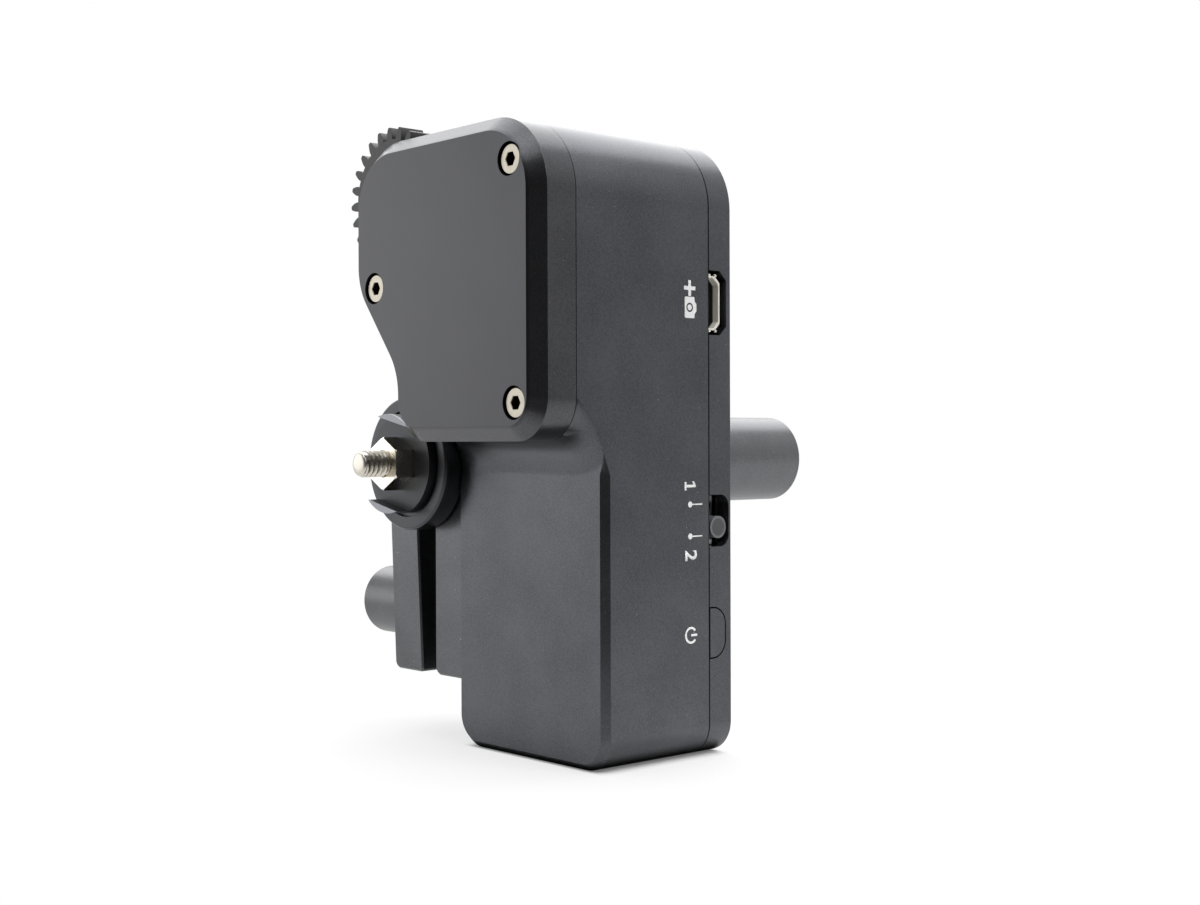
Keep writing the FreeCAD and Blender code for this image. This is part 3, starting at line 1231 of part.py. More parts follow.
def planet_gearbox():
    """Case with the ring gear, carrier with the output shaft, three planets and the sun."""
    sun, planet = round(number(d.sun_teeth)), round(number(d.planet_teeth))
    module = number(d.planet_module)
    internal = sun + 2 * planet
    thinned = 0.03
    # The ring gear's teeth are a little deeper than a pinion's tips reach, and a little shorter.
    root_share, tip_share = 1.25, 0.9
    first = math.pi / 2
    sun_angle = 0.0
    planet_angle = meshing_angle(first, sun_angle, sun, planet)
    phase = (first - planet_angle) * planet / (2 * math.pi)
    ring_angle = first - phase * 2 * math.pi / internal
    pitch = internal * module / 2
    tooth_room = tooth_outline(internal, module, pitch + root_share * module,
                               pitch - tip_share * module, -thinned, ring_angle)
    cavity = tooth_room.extrude(V(0, number(d.case_length - d.case_front), 0))
    cavity.translate(V(0, number(d.case_front), 0))
    case = Part.makeCylinder(number(d.case_radius), number(d.case_length), V(), V(0, 1, 0))
    spigot = Part.makeCylinder(number(d.spigot_radius), number(d.spigot_length),
                               V(0, -number(d.spigot_length), 0), V(0, 1, 0))
    bush_seat = Part.makeCylinder(number(d.shaft_radius + d.bush_wall),
                                  number(d.spigot_length + d.case_front),
                                  V(0, -number(d.spigot_length), 0), V(0, 1, 0))
    case = case.fuse(spigot).cut(bush_seat).cut(cavity)
    for angle in MOTOR_SCREW_ANGLES:
        x = number(motor_screw_ring) * math.cos(math.radians(angle))
        z = number(motor_screw_ring) * math.sin(math.radians(angle))
        case = case.cut(Part.makeCylinder(number(d.small_screw_radius + d.close_gap),
                                          number(d.case_front), V(x, 0, z), V(0, 1, 0)))
    held_shape("gearbox_case", case, as_size(0), web_back, motor_z)

    centre = (as_size(0), motor_z)
    bush_front = web_back - d.spigot_length
    node("output_bush", pipe("y", (centre[0], bush_front, centre[1]),
                             d.shaft_radius + d.bush_wall, d.shaft_radius + d.run_gap,
                             inside_case - bush_front))
    plate = rod("y", (centre[0], carrier_front, centre[1]), orbit + d.carrier_rim,
                d.carrier_plate)
    shaft = rod("y", (centre[0], gear_front, centre[1]), d.shaft_radius,
                carrier_front - gear_front)
    pins = []
    for number_of_planet in range(3):
        angle = first + number_of_planet * 2 * math.pi / 3
        x = orbit * math.cos(angle)
        z = motor_z + orbit * math.sin(angle)
        pins.append(rod("y", (x, carrier_front, z), d.planet_pin_radius,
                        planets_back - carrier_front + 2 * d.face_gap))
        # Each planet meets the sun in its own direction, so its teeth stand at another angle.
        angle_here = meshing_angle(angle, sun_angle, sun, planet)
        held_shape(f"planet_gear_{number_of_planet + 1}",
                   gear(planet, module, d.planet_width, d.planet_pin_radius + d.run_gap,
                        angle_here, thinned), x, planets_front, z)
    node("planet_carrier", fused(plate, shaft, *pins))
    held_shape("sun_gear", gear(sun, module, d.planet_width,
                                d.rotor_shaft_radius, sun_angle, thinned),
               centre[0], planets_front, centre[1])


def motor():
    x, z = as_size(0), motor_z
    inner = d.can_radius - d.can_wall
    magnet_inside = inner - d.magnet_thickness
    bush = d.rotor_shaft_radius + d.bush_wall
    bush_bore = d.rotor_shaft_radius + d.run_gap
    can = rod("y", (x, case_back, z), d.can_radius, can_length)
    hollow = rod("y", (x, case_back + d.can_wall, z), inner, can_length - d.can_wall)
    node("motor_can", without(can, hollow, rod("y", (x, case_back, z), bush, d.can_wall)))
    slit = box((-d.magnet_slit / 2, case_back, z - d.can_radius),
               (d.magnet_slit / 2, can_back, z + d.can_radius))
    node("motor_magnets", without(
        pipe("y", (x, magnet_front, z), inner, magnet_inside,
             rotor_length + 2 * d.magnet_overhang), slit))
    core = rod("y", (x, rotor_front, z), magnet_inside - d.free_gap, rotor_length)
    shaft = rod("y", (x, planets_front, z), d.rotor_shaft_radius,
                encoder_front + d.face_gap - planets_front)
    node("motor_rotor", fused(core, shaft))
    node("motor_bushes", group([
        pipe("y", (x, case_back, z), bush, bush_bore, d.can_wall),
        pipe("y", (x, can_back, z), bush, bush_bore, d.end_cap_length),
    ]))
    cap = rod("y", (x, can_back, z), d.can_radius, d.end_cap_length)
    plug = pipe("y", (x, can_back - d.plug_length, z), inner - d.close_gap,
                inner - d.plug_wall, d.plug_length)
    holes = [rod("y", (across, can_back, up), d.terminal_radius, d.end_cap_length)
             for across, up in TERMINALS]
    holes.append(rod("y", (x, can_back, z), bush, d.end_cap_length))
    node("motor_end_cap", without(fused(cap, plug), *holes))
    node("motor_terminals", group(
        rod("y", (across, can_back, up), d.terminal_radius,
            board_back + d.terminal_reach - can_back) for across, up in TERMINALS))
    node("encoder_magnet", without(
        rod("y", (x, encoder_front, z), d.encoder_radius, d.encoder_length),
        rod("y", (x, encoder_front, z), d.rotor_shaft_radius + d.close_gap, d.face_gap)))


# ---------------------------------------------------------------- electronics and controls

def chip(x, z, side, thickness):
    """A square chip on the back of the board, given by its middle."""
    return box((x - side / 2, board_back, z - side / 2),
               (x + side / 2, board_back + thickness, z + side / 2))


def circuit_board():
    high_x = inner_right - d.board_edge_gap
    plate = box((-high_x, board_front, d.board_foot), (high_x, board_back, top - d.board_drop))
    holes = [rod("y", (x, board_front, z), d.small_screw_radius + d.screw_pass,
                 d.board_thickness) for x, z in BOARD_POSTS]
    holes += [rod("y", (x, board_front, z), d.terminal_radius + d.run_gap, d.board_thickness)
              for x, z in TERMINALS]
    node("circuit_board", without(plate, *holes))
    node("control_chips", group([
        chip(-d.chip_spread, d.board_foot + d.main_chip_rise, d.main_chip_side,
             d.main_chip_thickness),
        chip(-d.chip_spread, motor_z - d.radio_chip_drop, d.radio_chip_side,
             d.radio_chip_thickness),
        chip(d.chip_spread, d.board_foot + d.charge_chip_rise, d.charge_chip_side,
             d.charge_chip_thickness),
    ]))
    node("encoder_chip", chip(as_size(0), motor_z, d.encoder_chip_side,
                              d.encoder_chip_thickness))


def usb_socket():
    inner_end = usb_mouth - d.usb_depth
    half = d.usb_length / 2
    thin = d.usb_height / 2
    slant = d.usb_slant

    def section(drawing, inset):
        outline(drawing, [
            (usb_middle - thin + inset, usb_z - half + inset),
            (usb_middle + thin - inset - slant, usb_z - half + inset),
            (usb_middle + thin - inset, usb_z - half + inset + slant),
            (usb_middle + thin - inset, usb_z + half - inset - slant),
            (usb_middle + thin - inset - slant, usb_z + half - inset),
            (usb_middle - thin + inset, usb_z + half - inset),
        ])
    body = new_body()
    drawing = sketch(body, "x", inner_end)
    section(drawing, as_size(0))
    pad(body, drawing, d.usb_depth, forwards=True)
    drawing = sketch(body, "x", inner_end + d.usb_sheet)
    section(drawing, d.usb_sheet)
    pocket(body, drawing, d.usb_depth - d.usb_sheet, forwards=True)
    node("usb_shell", body)
    rear = inner_end + d.usb_sheet
    side = thin - d.usb_sheet - d.run_gap
    end = half - d.usb_sheet - slant - d.face_gap
    heel = box((rear, usb_middle - side, usb_z - end),
               (rear + d.usb_heel, usb_middle + side, usb_z + end))
    tongue_middle = usb_middle + d.usb_tongue_shift
    tongue = box((rear, tongue_middle - d.usb_tongue_thickness / 2,
                  usb_z - half + d.usb_tongue_inset),
                 (usb_mouth - d.usb_tongue_setback,
                  tongue_middle + d.usb_tongue_thickness / 2,
                  usb_z + half - d.usb_tongue_inset))
    node("usb_tongue", fused(heel, tongue))


def slide_switch():
    case_left, case_right = switch_case_left, switch_case_right
    half = d.switch_case_length / 2
    middle = switch_middle - d.switch_shift
    stem = d.switch_stem_length / 2
    stem_side = d.switch_stem_thickness / 2
    foot = d.switch_foot_length / 2
    foot_side = d.switch_foot_thickness / 2
    track = d.switch_travel / 2 + stem + d.face_gap
    room = d.switch_travel / 2 + foot + 2 * d.face_gap
    case = box((case_left, board_back, d.switch_z - half),
               (case_right, board_back + d.switch_case_height, d.switch_z + half))
    hollow = box((case_left + d.switch_case_back, middle - foot_side - d.slide_gap,
                  d.switch_z - room),
                 (case_right - d.switch_case_front, middle + foot_side + d.slide_gap,
                  d.switch_z + room))
    opening = box((case_right - 2 * d.switch_case_front, middle - stem_side - d.slide_gap,
                   d.switch_z - track),
                  (case_right, middle + stem_side + d.slide_gap, d.switch_z + track))
    node("slide_switch_case", without(case, hollow, opening))
    # Foot inside the case, a flat stem through its slot and the round post in the window.
    foot_end = case_right - d.switch_case_front - d.face_gap
    post_start = inner_right - d.button_gap
    node("mode_slider", fused(
        box((case_left + d.switch_case_back + d.face_gap, middle - foot_side,
             slider_rest - foot),
            (foot_end, middle + foot_side, slider_rest + foot)),
        box((foot_end - d.face_gap, middle - stem_side, slider_rest - stem),
            (post_start, middle + stem_side, slider_rest + stem)),
        rod("x", (post_start - d.face_gap, switch_middle, slider_rest), d.switch_post_radius,
            right - d.switch_post_recess - post_start + d.face_gap)))


def power_button():
    """The D-shaped cap with the flange that keeps it in, and the push switch behind it."""
    flange_back = inner_right - d.button_gap
    low = back_seam + d.button_gap
    high = low + d.button_depth - d.button_gap
    body = new_body()
    for start, end, grow in ((flange_back, right, as_size(0)),
                             (flange_back - d.button_flange, flange_back, d.button_grow)):
        drawing = sketch(body, "x", start)
        half = d.button_length / 2 + grow
        outline(drawing, [(low, d.button_z - half), (high, d.button_z - half, d.button_corner),
                          (high, d.button_z + half, d.button_corner),
                          (low, d.button_z + half)])
        pad(body, drawing, end - start, forwards=True)
    node("power_button", body)
    button_back = flange_back - d.button_flange
    middle = board_back + d.push_switch_side / 3
    side = d.push_switch_side / 2
    switch_right = button_back - d.plunger_reach
    case = box((switch_right - d.push_switch_depth, board_back, d.button_z - side),
               (switch_right, board_back + d.push_switch_height, d.button_z + side))
    well = rod("x", (switch_right - d.plunger_well, middle, d.button_z),
               d.plunger_radius + d.face_gap, d.plunger_well)
    node("push_switch", without(case, well))
    node("switch_plunger", rod("x", (switch_right - d.plunger_sink, middle, d.button_z),
                               d.plunger_radius, d.plunger_reach + d.plunger_sink))


def battery():
    low_x = -board_post_x + d.post_radius + d.battery_left_gap
    high_x = inner_right - d.battery_right_gap
    face = front + d.wall + d.battery_front_gap
    rear = board_front - d.foam_thickness
    high = under_gearbox_case - d.battery_headroom
    body = new_body()
    drawing = sketch(body, "z", d.battery_foot)
    rectangle(drawing, low_x, face, high_x, rear, d.battery_corner)
    pad(body, drawing, high - d.battery_foot, forwards=True)
    node("battery", body)
    inset = d.foam_inset
    node("battery_foam", box((low_x + inset, rear, d.battery_foot + inset),
                             (high_x - inset, board_front, high - inset)))
    leads = []
    bend = d.lead_bend
    middle_x = (low_x + high_x) / 2
    y = rear - d.lead_setback
    turn_z = high + d.lead_rise
    for x in (middle_x - d.lead_spread, middle_x + d.lead_spread):
        rise = rod("z", (x, y, high), d.lead_radius, d.lead_rise)
        ring = doc.addObject("Part::Torus", "bend")
        bind(ring, "Radius1", bend)
        bind(ring, "Radius2", d.lead_radius)
        ring.Angle3 = 90
        place(ring, x, y + bend, turn_z,
              FreeCAD.Rotation(V(0, -1, 0), V(0, 0, 1), V(-1, 0, 0), "XYZ"))
        onward = rod("y", (x, y + bend, turn_z + bend), d.lead_radius, board_front - y - bend)
        leads.append(fused(rise, ring, onward))
    node("battery_leads", group(leads))


# ---------------------------------------------------------------- build, test and write

def main():
    main_housing()
    gear_cover()
    back_cover()
    screws()
    clamp_block()
    clamp_parts()
    mounting_rod()
    rod_head()
    stop_ring()
    stud_and_nut()
    gear_train()
    planet_gearbox()
    motor()
    circuit_board()
    usb_socket()
    slide_switch()
    power_button()
    battery()
    doc.recompute()

    failed = [thing.Name for thing in doc.Objects
              if "Invalid" in thing.State or "Error" in thing.State]
    if failed:
        raise ValueError(f"objects that failed: {failed}")
    for name, thing in NODES.items():
        if thing.Shape.isNull() or not thing.Shape.isValid() or not thing.Shape.Solids:
            raise ValueError(f"{name} has no valid solid")
    os.makedirs("parts", exist_ok=True)
    for name, thing in NODES.items():
        thing.Shape.exportStep(f"parts/{name}.step")
        limits = thing.Shape.BoundBox
        print(f"{name}: {len(thing.Shape.Solids)} solid(s), {thing.Shape.Volume:.1f} mm3, "
              f"X {limits.XMin:.2f}..{limits.XMax:.2f} Y {limits.YMin:.2f}..{limits.YMax:.2f} "
              f"Z {limits.ZMin:.2f}..{limits.ZMax:.2f}")
    print(len(NODES), "nodes")


main()
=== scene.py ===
import json
import math

import bpy
from mathutils import Matrix, Vector


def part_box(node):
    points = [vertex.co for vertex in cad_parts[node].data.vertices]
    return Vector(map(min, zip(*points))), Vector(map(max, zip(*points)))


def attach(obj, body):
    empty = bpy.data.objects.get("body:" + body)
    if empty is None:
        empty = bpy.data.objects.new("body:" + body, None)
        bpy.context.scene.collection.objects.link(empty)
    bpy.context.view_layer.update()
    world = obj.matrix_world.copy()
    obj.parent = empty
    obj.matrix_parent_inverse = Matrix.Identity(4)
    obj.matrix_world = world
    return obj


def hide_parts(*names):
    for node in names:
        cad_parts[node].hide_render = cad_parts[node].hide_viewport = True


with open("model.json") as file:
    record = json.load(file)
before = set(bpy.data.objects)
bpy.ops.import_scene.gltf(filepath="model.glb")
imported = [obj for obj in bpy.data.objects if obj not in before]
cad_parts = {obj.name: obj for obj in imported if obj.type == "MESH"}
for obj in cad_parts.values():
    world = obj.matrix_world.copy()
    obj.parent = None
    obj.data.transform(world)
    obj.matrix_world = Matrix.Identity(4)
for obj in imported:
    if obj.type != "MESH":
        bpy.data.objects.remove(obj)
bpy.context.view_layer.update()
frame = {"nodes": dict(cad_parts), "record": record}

# A lens motor in black anodised aluminium that rides on a rod. The outer pieces are the packed
# solids with rounded edges; the stud's thread, the socket's tabs, the printed marks and all
# finishes are made here. Lengths are in metres, written as numbers times MM.

MM = 0.001

# ------------------------------------------------------------------ places taken from the frame

housing_low, housing_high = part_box("main_housing")
back_low, back_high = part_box("back_cover")
cover_low, cover_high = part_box("gear_cover")
stud_low, stud_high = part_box("mounting_stud")
usb_low, usb_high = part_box("usb_shell")
slider_low, slider_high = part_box("mode_slider")
button_low, button_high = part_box("power_button")
rod_low, rod_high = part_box("mounting_rod")
head_low, head_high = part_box("rod_head")

side_x = housing_high.x                 # the wall with the socket, the switches and the marks
base_z = housing_low.z
seam_y = back_low.y                     # where the back cover meets the housing
rod_axis = (rod_low + rod_high) / 2
usb_middle = (usb_low + usb_high) / 2
button_middle = (button_low + button_high) / 2
slider_middle = (slider_low + slider_high) / 2

POST_RADIUS = 1.6 * MM                  # round post of the slider, flush with its rear side
post_axis = Vector((0, slider_high.y - POST_RADIUS, slider_middle.z))


# ------------------------------------------------------------------ modelling helpers

def pick(*objects):
    """Selects these objects alone, the first one active."""
    bpy.ops.object.select_all(action="DESELECT")
    for thing in objects:
        thing.select_set(True)
    bpy.context.view_layer.objects.active = objects[0]
    return objects[0]


def named(name):
    """Names the active object and its mesh."""
    thing = bpy.context.object
    thing.name = name
    thing.data.name = name
    return thing


def settle(thing):
    """Moves the object's place, turn and scale into its mesh."""
    pick(thing)
    bpy.ops.object.transform_apply(location=True, rotation=True, scale=True)
    return thing


def use(thing, kind, **settings):
    """Adds a modifier and applies it."""
    pick(thing)
    modifier = thing.modifiers.new(kind.lower(), kind)
    for setting, value in settings.items():
        setattr(modifier, setting, value)
    bpy.ops.object.modifier_apply(modifier=modifier.name)
    return thing


def choose_faces(thing, test):
    """Goes to edit mode with the faces selected whose middle and normal pass the test."""
    bpy.ops.object.mode_set(mode="EDIT")
    bpy.ops.mesh.select_mode(type="FACE")
    bpy.ops.mesh.select_all(action="DESELECT")
    bpy.ops.object.mode_set(mode="OBJECT")
    for face in thing.data.polygons:
        face.select = test(face.center, face.normal)
    bpy.ops.object.mode_set(mode="EDIT")


def joined(name, *things):
    """Makes one object of several."""
    pick(*things)
    bpy.ops.object.join()
    return named(name)


def facing_out(thing):
    """Merges doubled points and turns all faces outwards."""
    pick(thing)
    bpy.ops.object.mode_set(mode="EDIT")
    bpy.ops.mesh.select_all(action="SELECT")
    bpy.ops.mesh.remove_doubles(threshold=0.0001 * MM)
    bpy.ops.mesh.normals_make_consistent(inside=False)
    bpy.ops.object.mode_set(mode="OBJECT")
    return thing


def smooth(thing, degrees):
    """Shades edges below this angle smooth."""
    pick(thing)
    bpy.ops.object.shade_smooth_by_angle(angle=math.radians(degrees))
    return thing


MERGE_REACH = 0.002 * MM
FLAT_ANGLE = math.radians(0.6)          # faces that differ less are one face
SHARP_ANGLE = math.radians(28)          # edges that turn more are rounded


def softened(node, name, radius):
    """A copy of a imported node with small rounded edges, which shows in its place."""
    source = frame["nodes"][node]
    copy = bpy.data.objects.new(name, source.data.copy())
    bpy.context.scene.collection.objects.link(copy)
    copy.data.materials.clear()
    pick(copy)
    bpy.ops.mesh.customdata_custom_splitnormals_clear()
    bpy.ops.object.mode_set(mode="EDIT")
    bpy.ops.mesh.select_all(action="SELECT")
    bpy.ops.mesh.remove_doubles(threshold=MERGE_REACH)
    bpy.ops.mesh.dissolve_limited(angle_limit=FLAT_ANGLE)
    bpy.ops.object.mode_set(mode="OBJECT")
    use(copy, "BEVEL", width=radius, segments=2, limit_method="ANGLE",
        angle_limit=SHARP_ANGLE, loop_slide=False)
    smooth(copy, 24)
    use(copy, "WEIGHTED_NORMAL", keep_sharp=True, weight=60)
    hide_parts(node)
    return copy


def finish_piece(piece, body, material):
    """Gives a finished piece its material and its body."""
    piece.data.materials.clear()
    piece.data.materials.append(material)
    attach(piece, body)
    return piece


# ------------------------------------------------------------------ shader helpers

class Wire:
    """An output socket that adds and multiplies like a number."""

    def __init__(self, finish, socket):
        self.finish = finish
        self.socket = socket

    def maths(self, operation, *others):
        """A Math node on this socket and the others."""
        return self.finish.node("ShaderNodeMath", {"operation": operation},
                                dict(enumerate((self, *others))))

    def __add__(self, other):
        return self.maths("ADD", other)

    def __sub__(self, other):
        return self.maths("SUBTRACT", other)

    def __mul__(self, other):
        return self.maths("MULTIPLY", other)

    def __rsub__(self, other):
        return self.finish.node("ShaderNodeMath", {"operation": "SUBTRACT"}, {0: other, 1: self})

    __radd__ = __add__
    __rmul__ = __mul__

    def clamped(self, low, high):
        """0 below low, 1 above high."""
        return self.finish.node("ShaderNodeMapRange", {"clamp": True},
                                {"Value": self, "From Min": low, "From Max": high})


class Finish:
    """A material, or the world, that is being made."""

    def __init__(self, name, world=False):
        self.made = (bpy.data.worlds if world else bpy.data.materials).new(name)
        self.made.use_nodes = True
        self.tree = self.made.node_tree
        self.tree.nodes.clear()
        self.out = "ShaderNodeOutputWorld" if world else "ShaderNodeOutputMaterial"
        self.place = self.node("ShaderNodeTexCoord", output="Generated" if world else "Object")

    def node(self, kind, settings=None, sockets=None, output=0):
        """Adds a node with its settings first, then its sockets' values or links."""
        added = self.tree.nodes.new(kind)
        for setting, value in (settings or {}).items():
            setattr(added, setting, value)
        for where, value in (sockets or {}).items():
            if isinstance(value, Wire):
                self.tree.links.new(value.socket, added.inputs[where])
            else:
                added.inputs[where].default_value = value
        return Wire(self, added.outputs[output])

    def noise(self, size, detail=2.0, roughness=0.5, stretch=(1.0, 1.0, 1.0)):
        """Noise whose features are about size metres, longer where stretch is above one."""
        scaled = self.node("ShaderNodeVectorMath", {"operation": "DIVIDE"},
                           {0: self.place, 1: tuple(size * value for value in stretch)})
        return self.node("ShaderNodeTexNoise", {},
                         {"Vector": scaled, "Scale": 1.0, "Detail": detail,
                          "Roughness": roughness})

    def blend(self, amount, first, second):
        """A colour between two."""
        return self.node("ShaderNodeMix", {"data_type": "RGBA"},
                         {0: amount, 6: as_colour(first), 7: as_colour(second)}, output=2)

    def bump(self, height, depth, strength):
        return self.node("ShaderNodeBump", {},
                         {"Height": height, "Distance": depth, "Strength": strength})

    def distance_from(self, centre, axis):
        """Distance from an axis through centre, in metres."""
        keep = tuple(0.0 if letter == axis else 1.0 for letter in "xyz")
        moved = self.node("ShaderNodeVectorMath", {"operation": "SUBTRACT"},
                          {0: self.place, 1: tuple(centre)})
        flat = self.node("ShaderNodeVectorMath", {"operation": "MULTIPLY"}, {0: moved, 1: keep})
        return self.node("ShaderNodeVectorMath", {"operation": "LENGTH"}, {0: flat},
                         output="Value")

    def along(self, axis):
        """Place along x, y or z."""
        return self.node("ShaderNodeSeparateXYZ", {}, {0: self.place}, output="xyz".index(axis))

    def ramp(self, value, start, end, low=0.0, high=1.0):
        """A soft step from low at start to high at end."""
        return self.node("ShaderNodeMapRange", {"interpolation_type": "SMOOTHSTEP"},
                         {"Value": value, "From Min": start, "From Max": end, "To Min": low,
                          "To Max": high})

    def shown(self, shader):
        """Ends with this shader and gives the finished material or world."""
        out = self.tree.nodes.new(self.out)
        self.tree.links.new(shader.socket, out.inputs["Surface"])
        return self.made

    def surface(self, **sockets):
        """Ends with a Principled shader; a socket's name has _ for each space."""
        return self.shown(self.node("ShaderNodeBsdfPrincipled", {}, {
            name.replace("_", " "): value for name, value in sockets.items()}))


def as_colour(value):
    return value if isinstance(value, Wire) else (*value, 1.0)


def times(factor, shade):
    """A lighter or darker shade of a colour."""
    return tuple(factor * value for value in shade)


# ------------------------------------------------------------------ finishes

def blasted_black(name, shade=(0.098, 0.101, 0.110), roughness=0.30, seams=(), front=None):
    """Bead-blasted, black anodised aluminium; painted shade darkens a thin line at each seam, a
    place on Y, where the gap between the parts lies in shadow.
    The flat front, also a place on Y, gets painted shade: it is made a darker black than the sides."""
    finish = Finish(name)
    grain = finish.noise(0.20 * MM, detail=3.0, roughness=0.65)
    patches = finish.noise(9 * MM, detail=3.0)
    specks = finish.noise(0.32 * MM, detail=1.0).clamped(0.785, 0.82)
    colour = finish.blend((grain * 0.7 + patches * 0.3).clamped(0.38, 0.62),
                          times(0.82, shade), times(1.22, shade))
    colour = finish.blend(specks, colour, times(3.2, shade))
    if front is not None:
        # Painted shade: the flat front is made darker than the sides and chamfers.
        painted_front_shade = finish.ramp(finish.along("y"), front + 0.05 * MM, front + 0.5 * MM, 1.0, 0.0)
        colour = finish.blend(painted_front_shade, colour, times(0.72, shade))
    for seam in seams:
        # Painted shade: a dark line at each seam stands in for the shadow in the gap between the
        # parts.
        gap = (finish.along("y") - seam).maths("ABSOLUTE")
        line = finish.node("ShaderNodeMapRange", {"clamp": True},
                           {"Value": gap, "From Min": 0.09 * MM, "From Max": 0.16 * MM,
                            "To Min": 1.0, "To Max": 0.0})
        colour = finish.blend(line, colour, (0.006, 0.006, 0.006))
    rough = roughness - 0.03 + patches * 0.06 + (grain - 0.5) * 0.08
    return finish.surface(Base_Color=colour, Metallic=0.96, Roughness=rough,
                          Normal=finish.bump(grain, 0.014 * MM, 0.6))


def turned_black(name, shade, roughness, crest=None):
    """Black anodised aluminium with a lathe's fine rings round the rod's axis; the crest, a place
    on Y, is worn lighter by rubbing and also carries a painted highlight."""
    finish = Finish(name)
    reach = finish.distance_from(rod_axis, "y")
    travel = finish.along("y")
    waver = finish.noise(2.5 * MM) * (0.05 * MM)
    groove = 0.11 * MM
    rings = ((reach + travel + waver) * (2 * math.pi / groove)).maths("SINE")
    broad = finish.noise(1.0 * MM, stretch=(30.0, 0.25, 30.0))
    grain = finish.noise(0.12 * MM, detail=2.0)
    colour = finish.blend(broad.clamped(0.3, 0.7), times(0.86, shade), times(1.16, shade))
    if crest is not None:
        # Partly wear and partly painted highlight: the crest's front is made much lighter.
        painted_highlight = finish.ramp(finish.along("y"), crest + 0.22 * MM, crest + 0.40 * MM, 1.0, 0.0)
        colour = finish.blend(painted_highlight, colour, times(4.2, shade))
    height = rings * 0.12 + grain * 0.5 + broad * 0.5
    return finish.surface(Base_Color=colour, Metallic=0.95,
                          Roughness=roughness - 0.05 + broad * 0.1,
                          Normal=finish.bump(height, 0.008 * MM, 0.5))


def plated(name, shade, roughness, wear=0.12, metallic=1.0, mouth=None):
    """Nickel plate with a soft uneven shine; behind the mouth, a place on X, it is painted dark as
    the shade inside the port.
    """
    finish = Finish(name)
    grain = finish.noise(0.09 * MM, detail=4.0, roughness=0.7)
    patches = finish.noise(1.3 * MM, detail=4.0)
    colour = finish.blend(patches.clamped(0.35, 0.68), times(1 - wear, shade), shade)
    if mouth is not None:
        # Painted shade: deeper in the port than the mouth, the plate is made dark.
        inside = finish.ramp(finish.along("x"), mouth - 1.25 * MM, mouth - 0.95 * MM, 1.0, 0.0)
        colour = finish.blend(inside, colour, (0.035, 0.036, 0.033))
    rough = roughness + (patches - 0.5) * 0.16 + (grain - 0.5) * 0.12
    return finish.surface(Base_Color=colour, Metallic=metallic, Roughness=rough,
                          Normal=finish.bump(grain, 0.006 * MM, 0.4))


def socketed(name, shade, roughness, face):
    """Nickel screw heads; behind the face, a place on Y, socket and gap are painted dark as shade.
    """
    finish = Finish(name)
    grain = finish.noise(0.07 * MM, detail=4.0, roughness=0.7)
    patches = finish.noise(0.8 * MM, detail=3.0)
    unshaded_nickel = finish.blend((grain * 0.6 + patches * 0.4).clamped(0.32, 0.68),
                         times(0.80, shade), times(1.08, shade))
    # Painted shade: the hex socket and the gap round each head are made dark below the face.
    depth = finish.ramp(finish.along("y"), face + 0.08 * MM, face + 0.22 * MM)
    colour = finish.blend(depth, unshaded_nickel, (0.075, 0.055, 0.034))
    return finish.surface(Base_Color=colour, Metallic=1.0,
                          Roughness=roughness + (grain - 0.5) * 0.2,
                          Normal=finish.bump(grain, 0.006 * MM, 0.5))


def moulded(name, shade, roughness, grain_size=0.1, rim=None):
    """Moulded plastic with a faint texture; the rim, round an axis along X, gets a painted
    highlight, a lighter ring.
    """
    finish = Finish(name)
    grain = finish.noise(grain_size * MM, detail=2.0)
    patches = finish.noise(3.0 * MM, detail=3.0)
    colour = finish.blend(patches.clamped(0.3, 0.7), times(0.85, shade), times(1.15, shade))
    if rim is not None:
        centre, radius = rim
        # Painted highlight: a lighter ring just inside the rim.
        reach = finish.distance_from(centre, "x")
        painted_highlight = finish.ramp(reach, radius - 0.46 * MM, radius - 0.24 * MM)
        colour = finish.blend(painted_highlight, colour, times(2.4, shade))
    return finish.surface(Base_Color=colour, Roughness=roughness - 0.06 + patches * 0.12,
                          Normal=finish.bump(grain, 0.010 * MM, 0.4))


def ground(name, shade, roughness=0.3):
    """Bare metal, ground or drawn along Y."""
    finish = Finish(name)
    lines = finish.noise(0.08 * MM, detail=3.0, stretch=(1.0, 14.0, 1.0))
    patches = finish.noise(2.0 * MM, detail=3.0)
    colour = finish.blend((lines * 0.5 + patches * 0.5).clamped(0.3, 0.7),
                          times(0.78, shade), shade)
    return finish.surface(Base_Color=colour, Metallic=1.0,
                          Roughness=roughness + (lines - 0.5) * 0.2,
                          Normal=finish.bump(lines, 0.004 * MM, 0.4))


def printed_white(name):
    """Screen-printed ink: matt, with a faintly uneven tone."""
    finish = Finish(name)
    grain = finish.noise(0.07 * MM, detail=3.0)
    colour = finish.blend(grain.clamped(0.3, 0.6), (0.88, 0.88, 0.88), (0.98, 0.98, 0.98))
    return finish.surface(Base_Color=colour, Roughness=0.6,
                          Normal=finish.bump(grain, 0.004 * MM, 0.3))


def solder_mask(name):
    """Green board with darker tracks."""
    finish = Finish(name)
    tracks = finish.node("ShaderNodeTexVoronoi", {"feature": "DISTANCE_TO_EDGE",
                                                  "voronoi_dimensions": "3D"},
                         {"Vector": finish.place, "Scale": 420.0})
    colour = finish.blend(tracks.clamped(0.05, 0.09), (0.012, 0.10, 0.045),
                          (0.006, 0.055, 0.026))
    return finish.surface(Base_Color=colour, Roughness=0.3, Coat_Weight=0.6,
                          Normal=finish.bump(tracks, 0.01 * MM, 0.3))


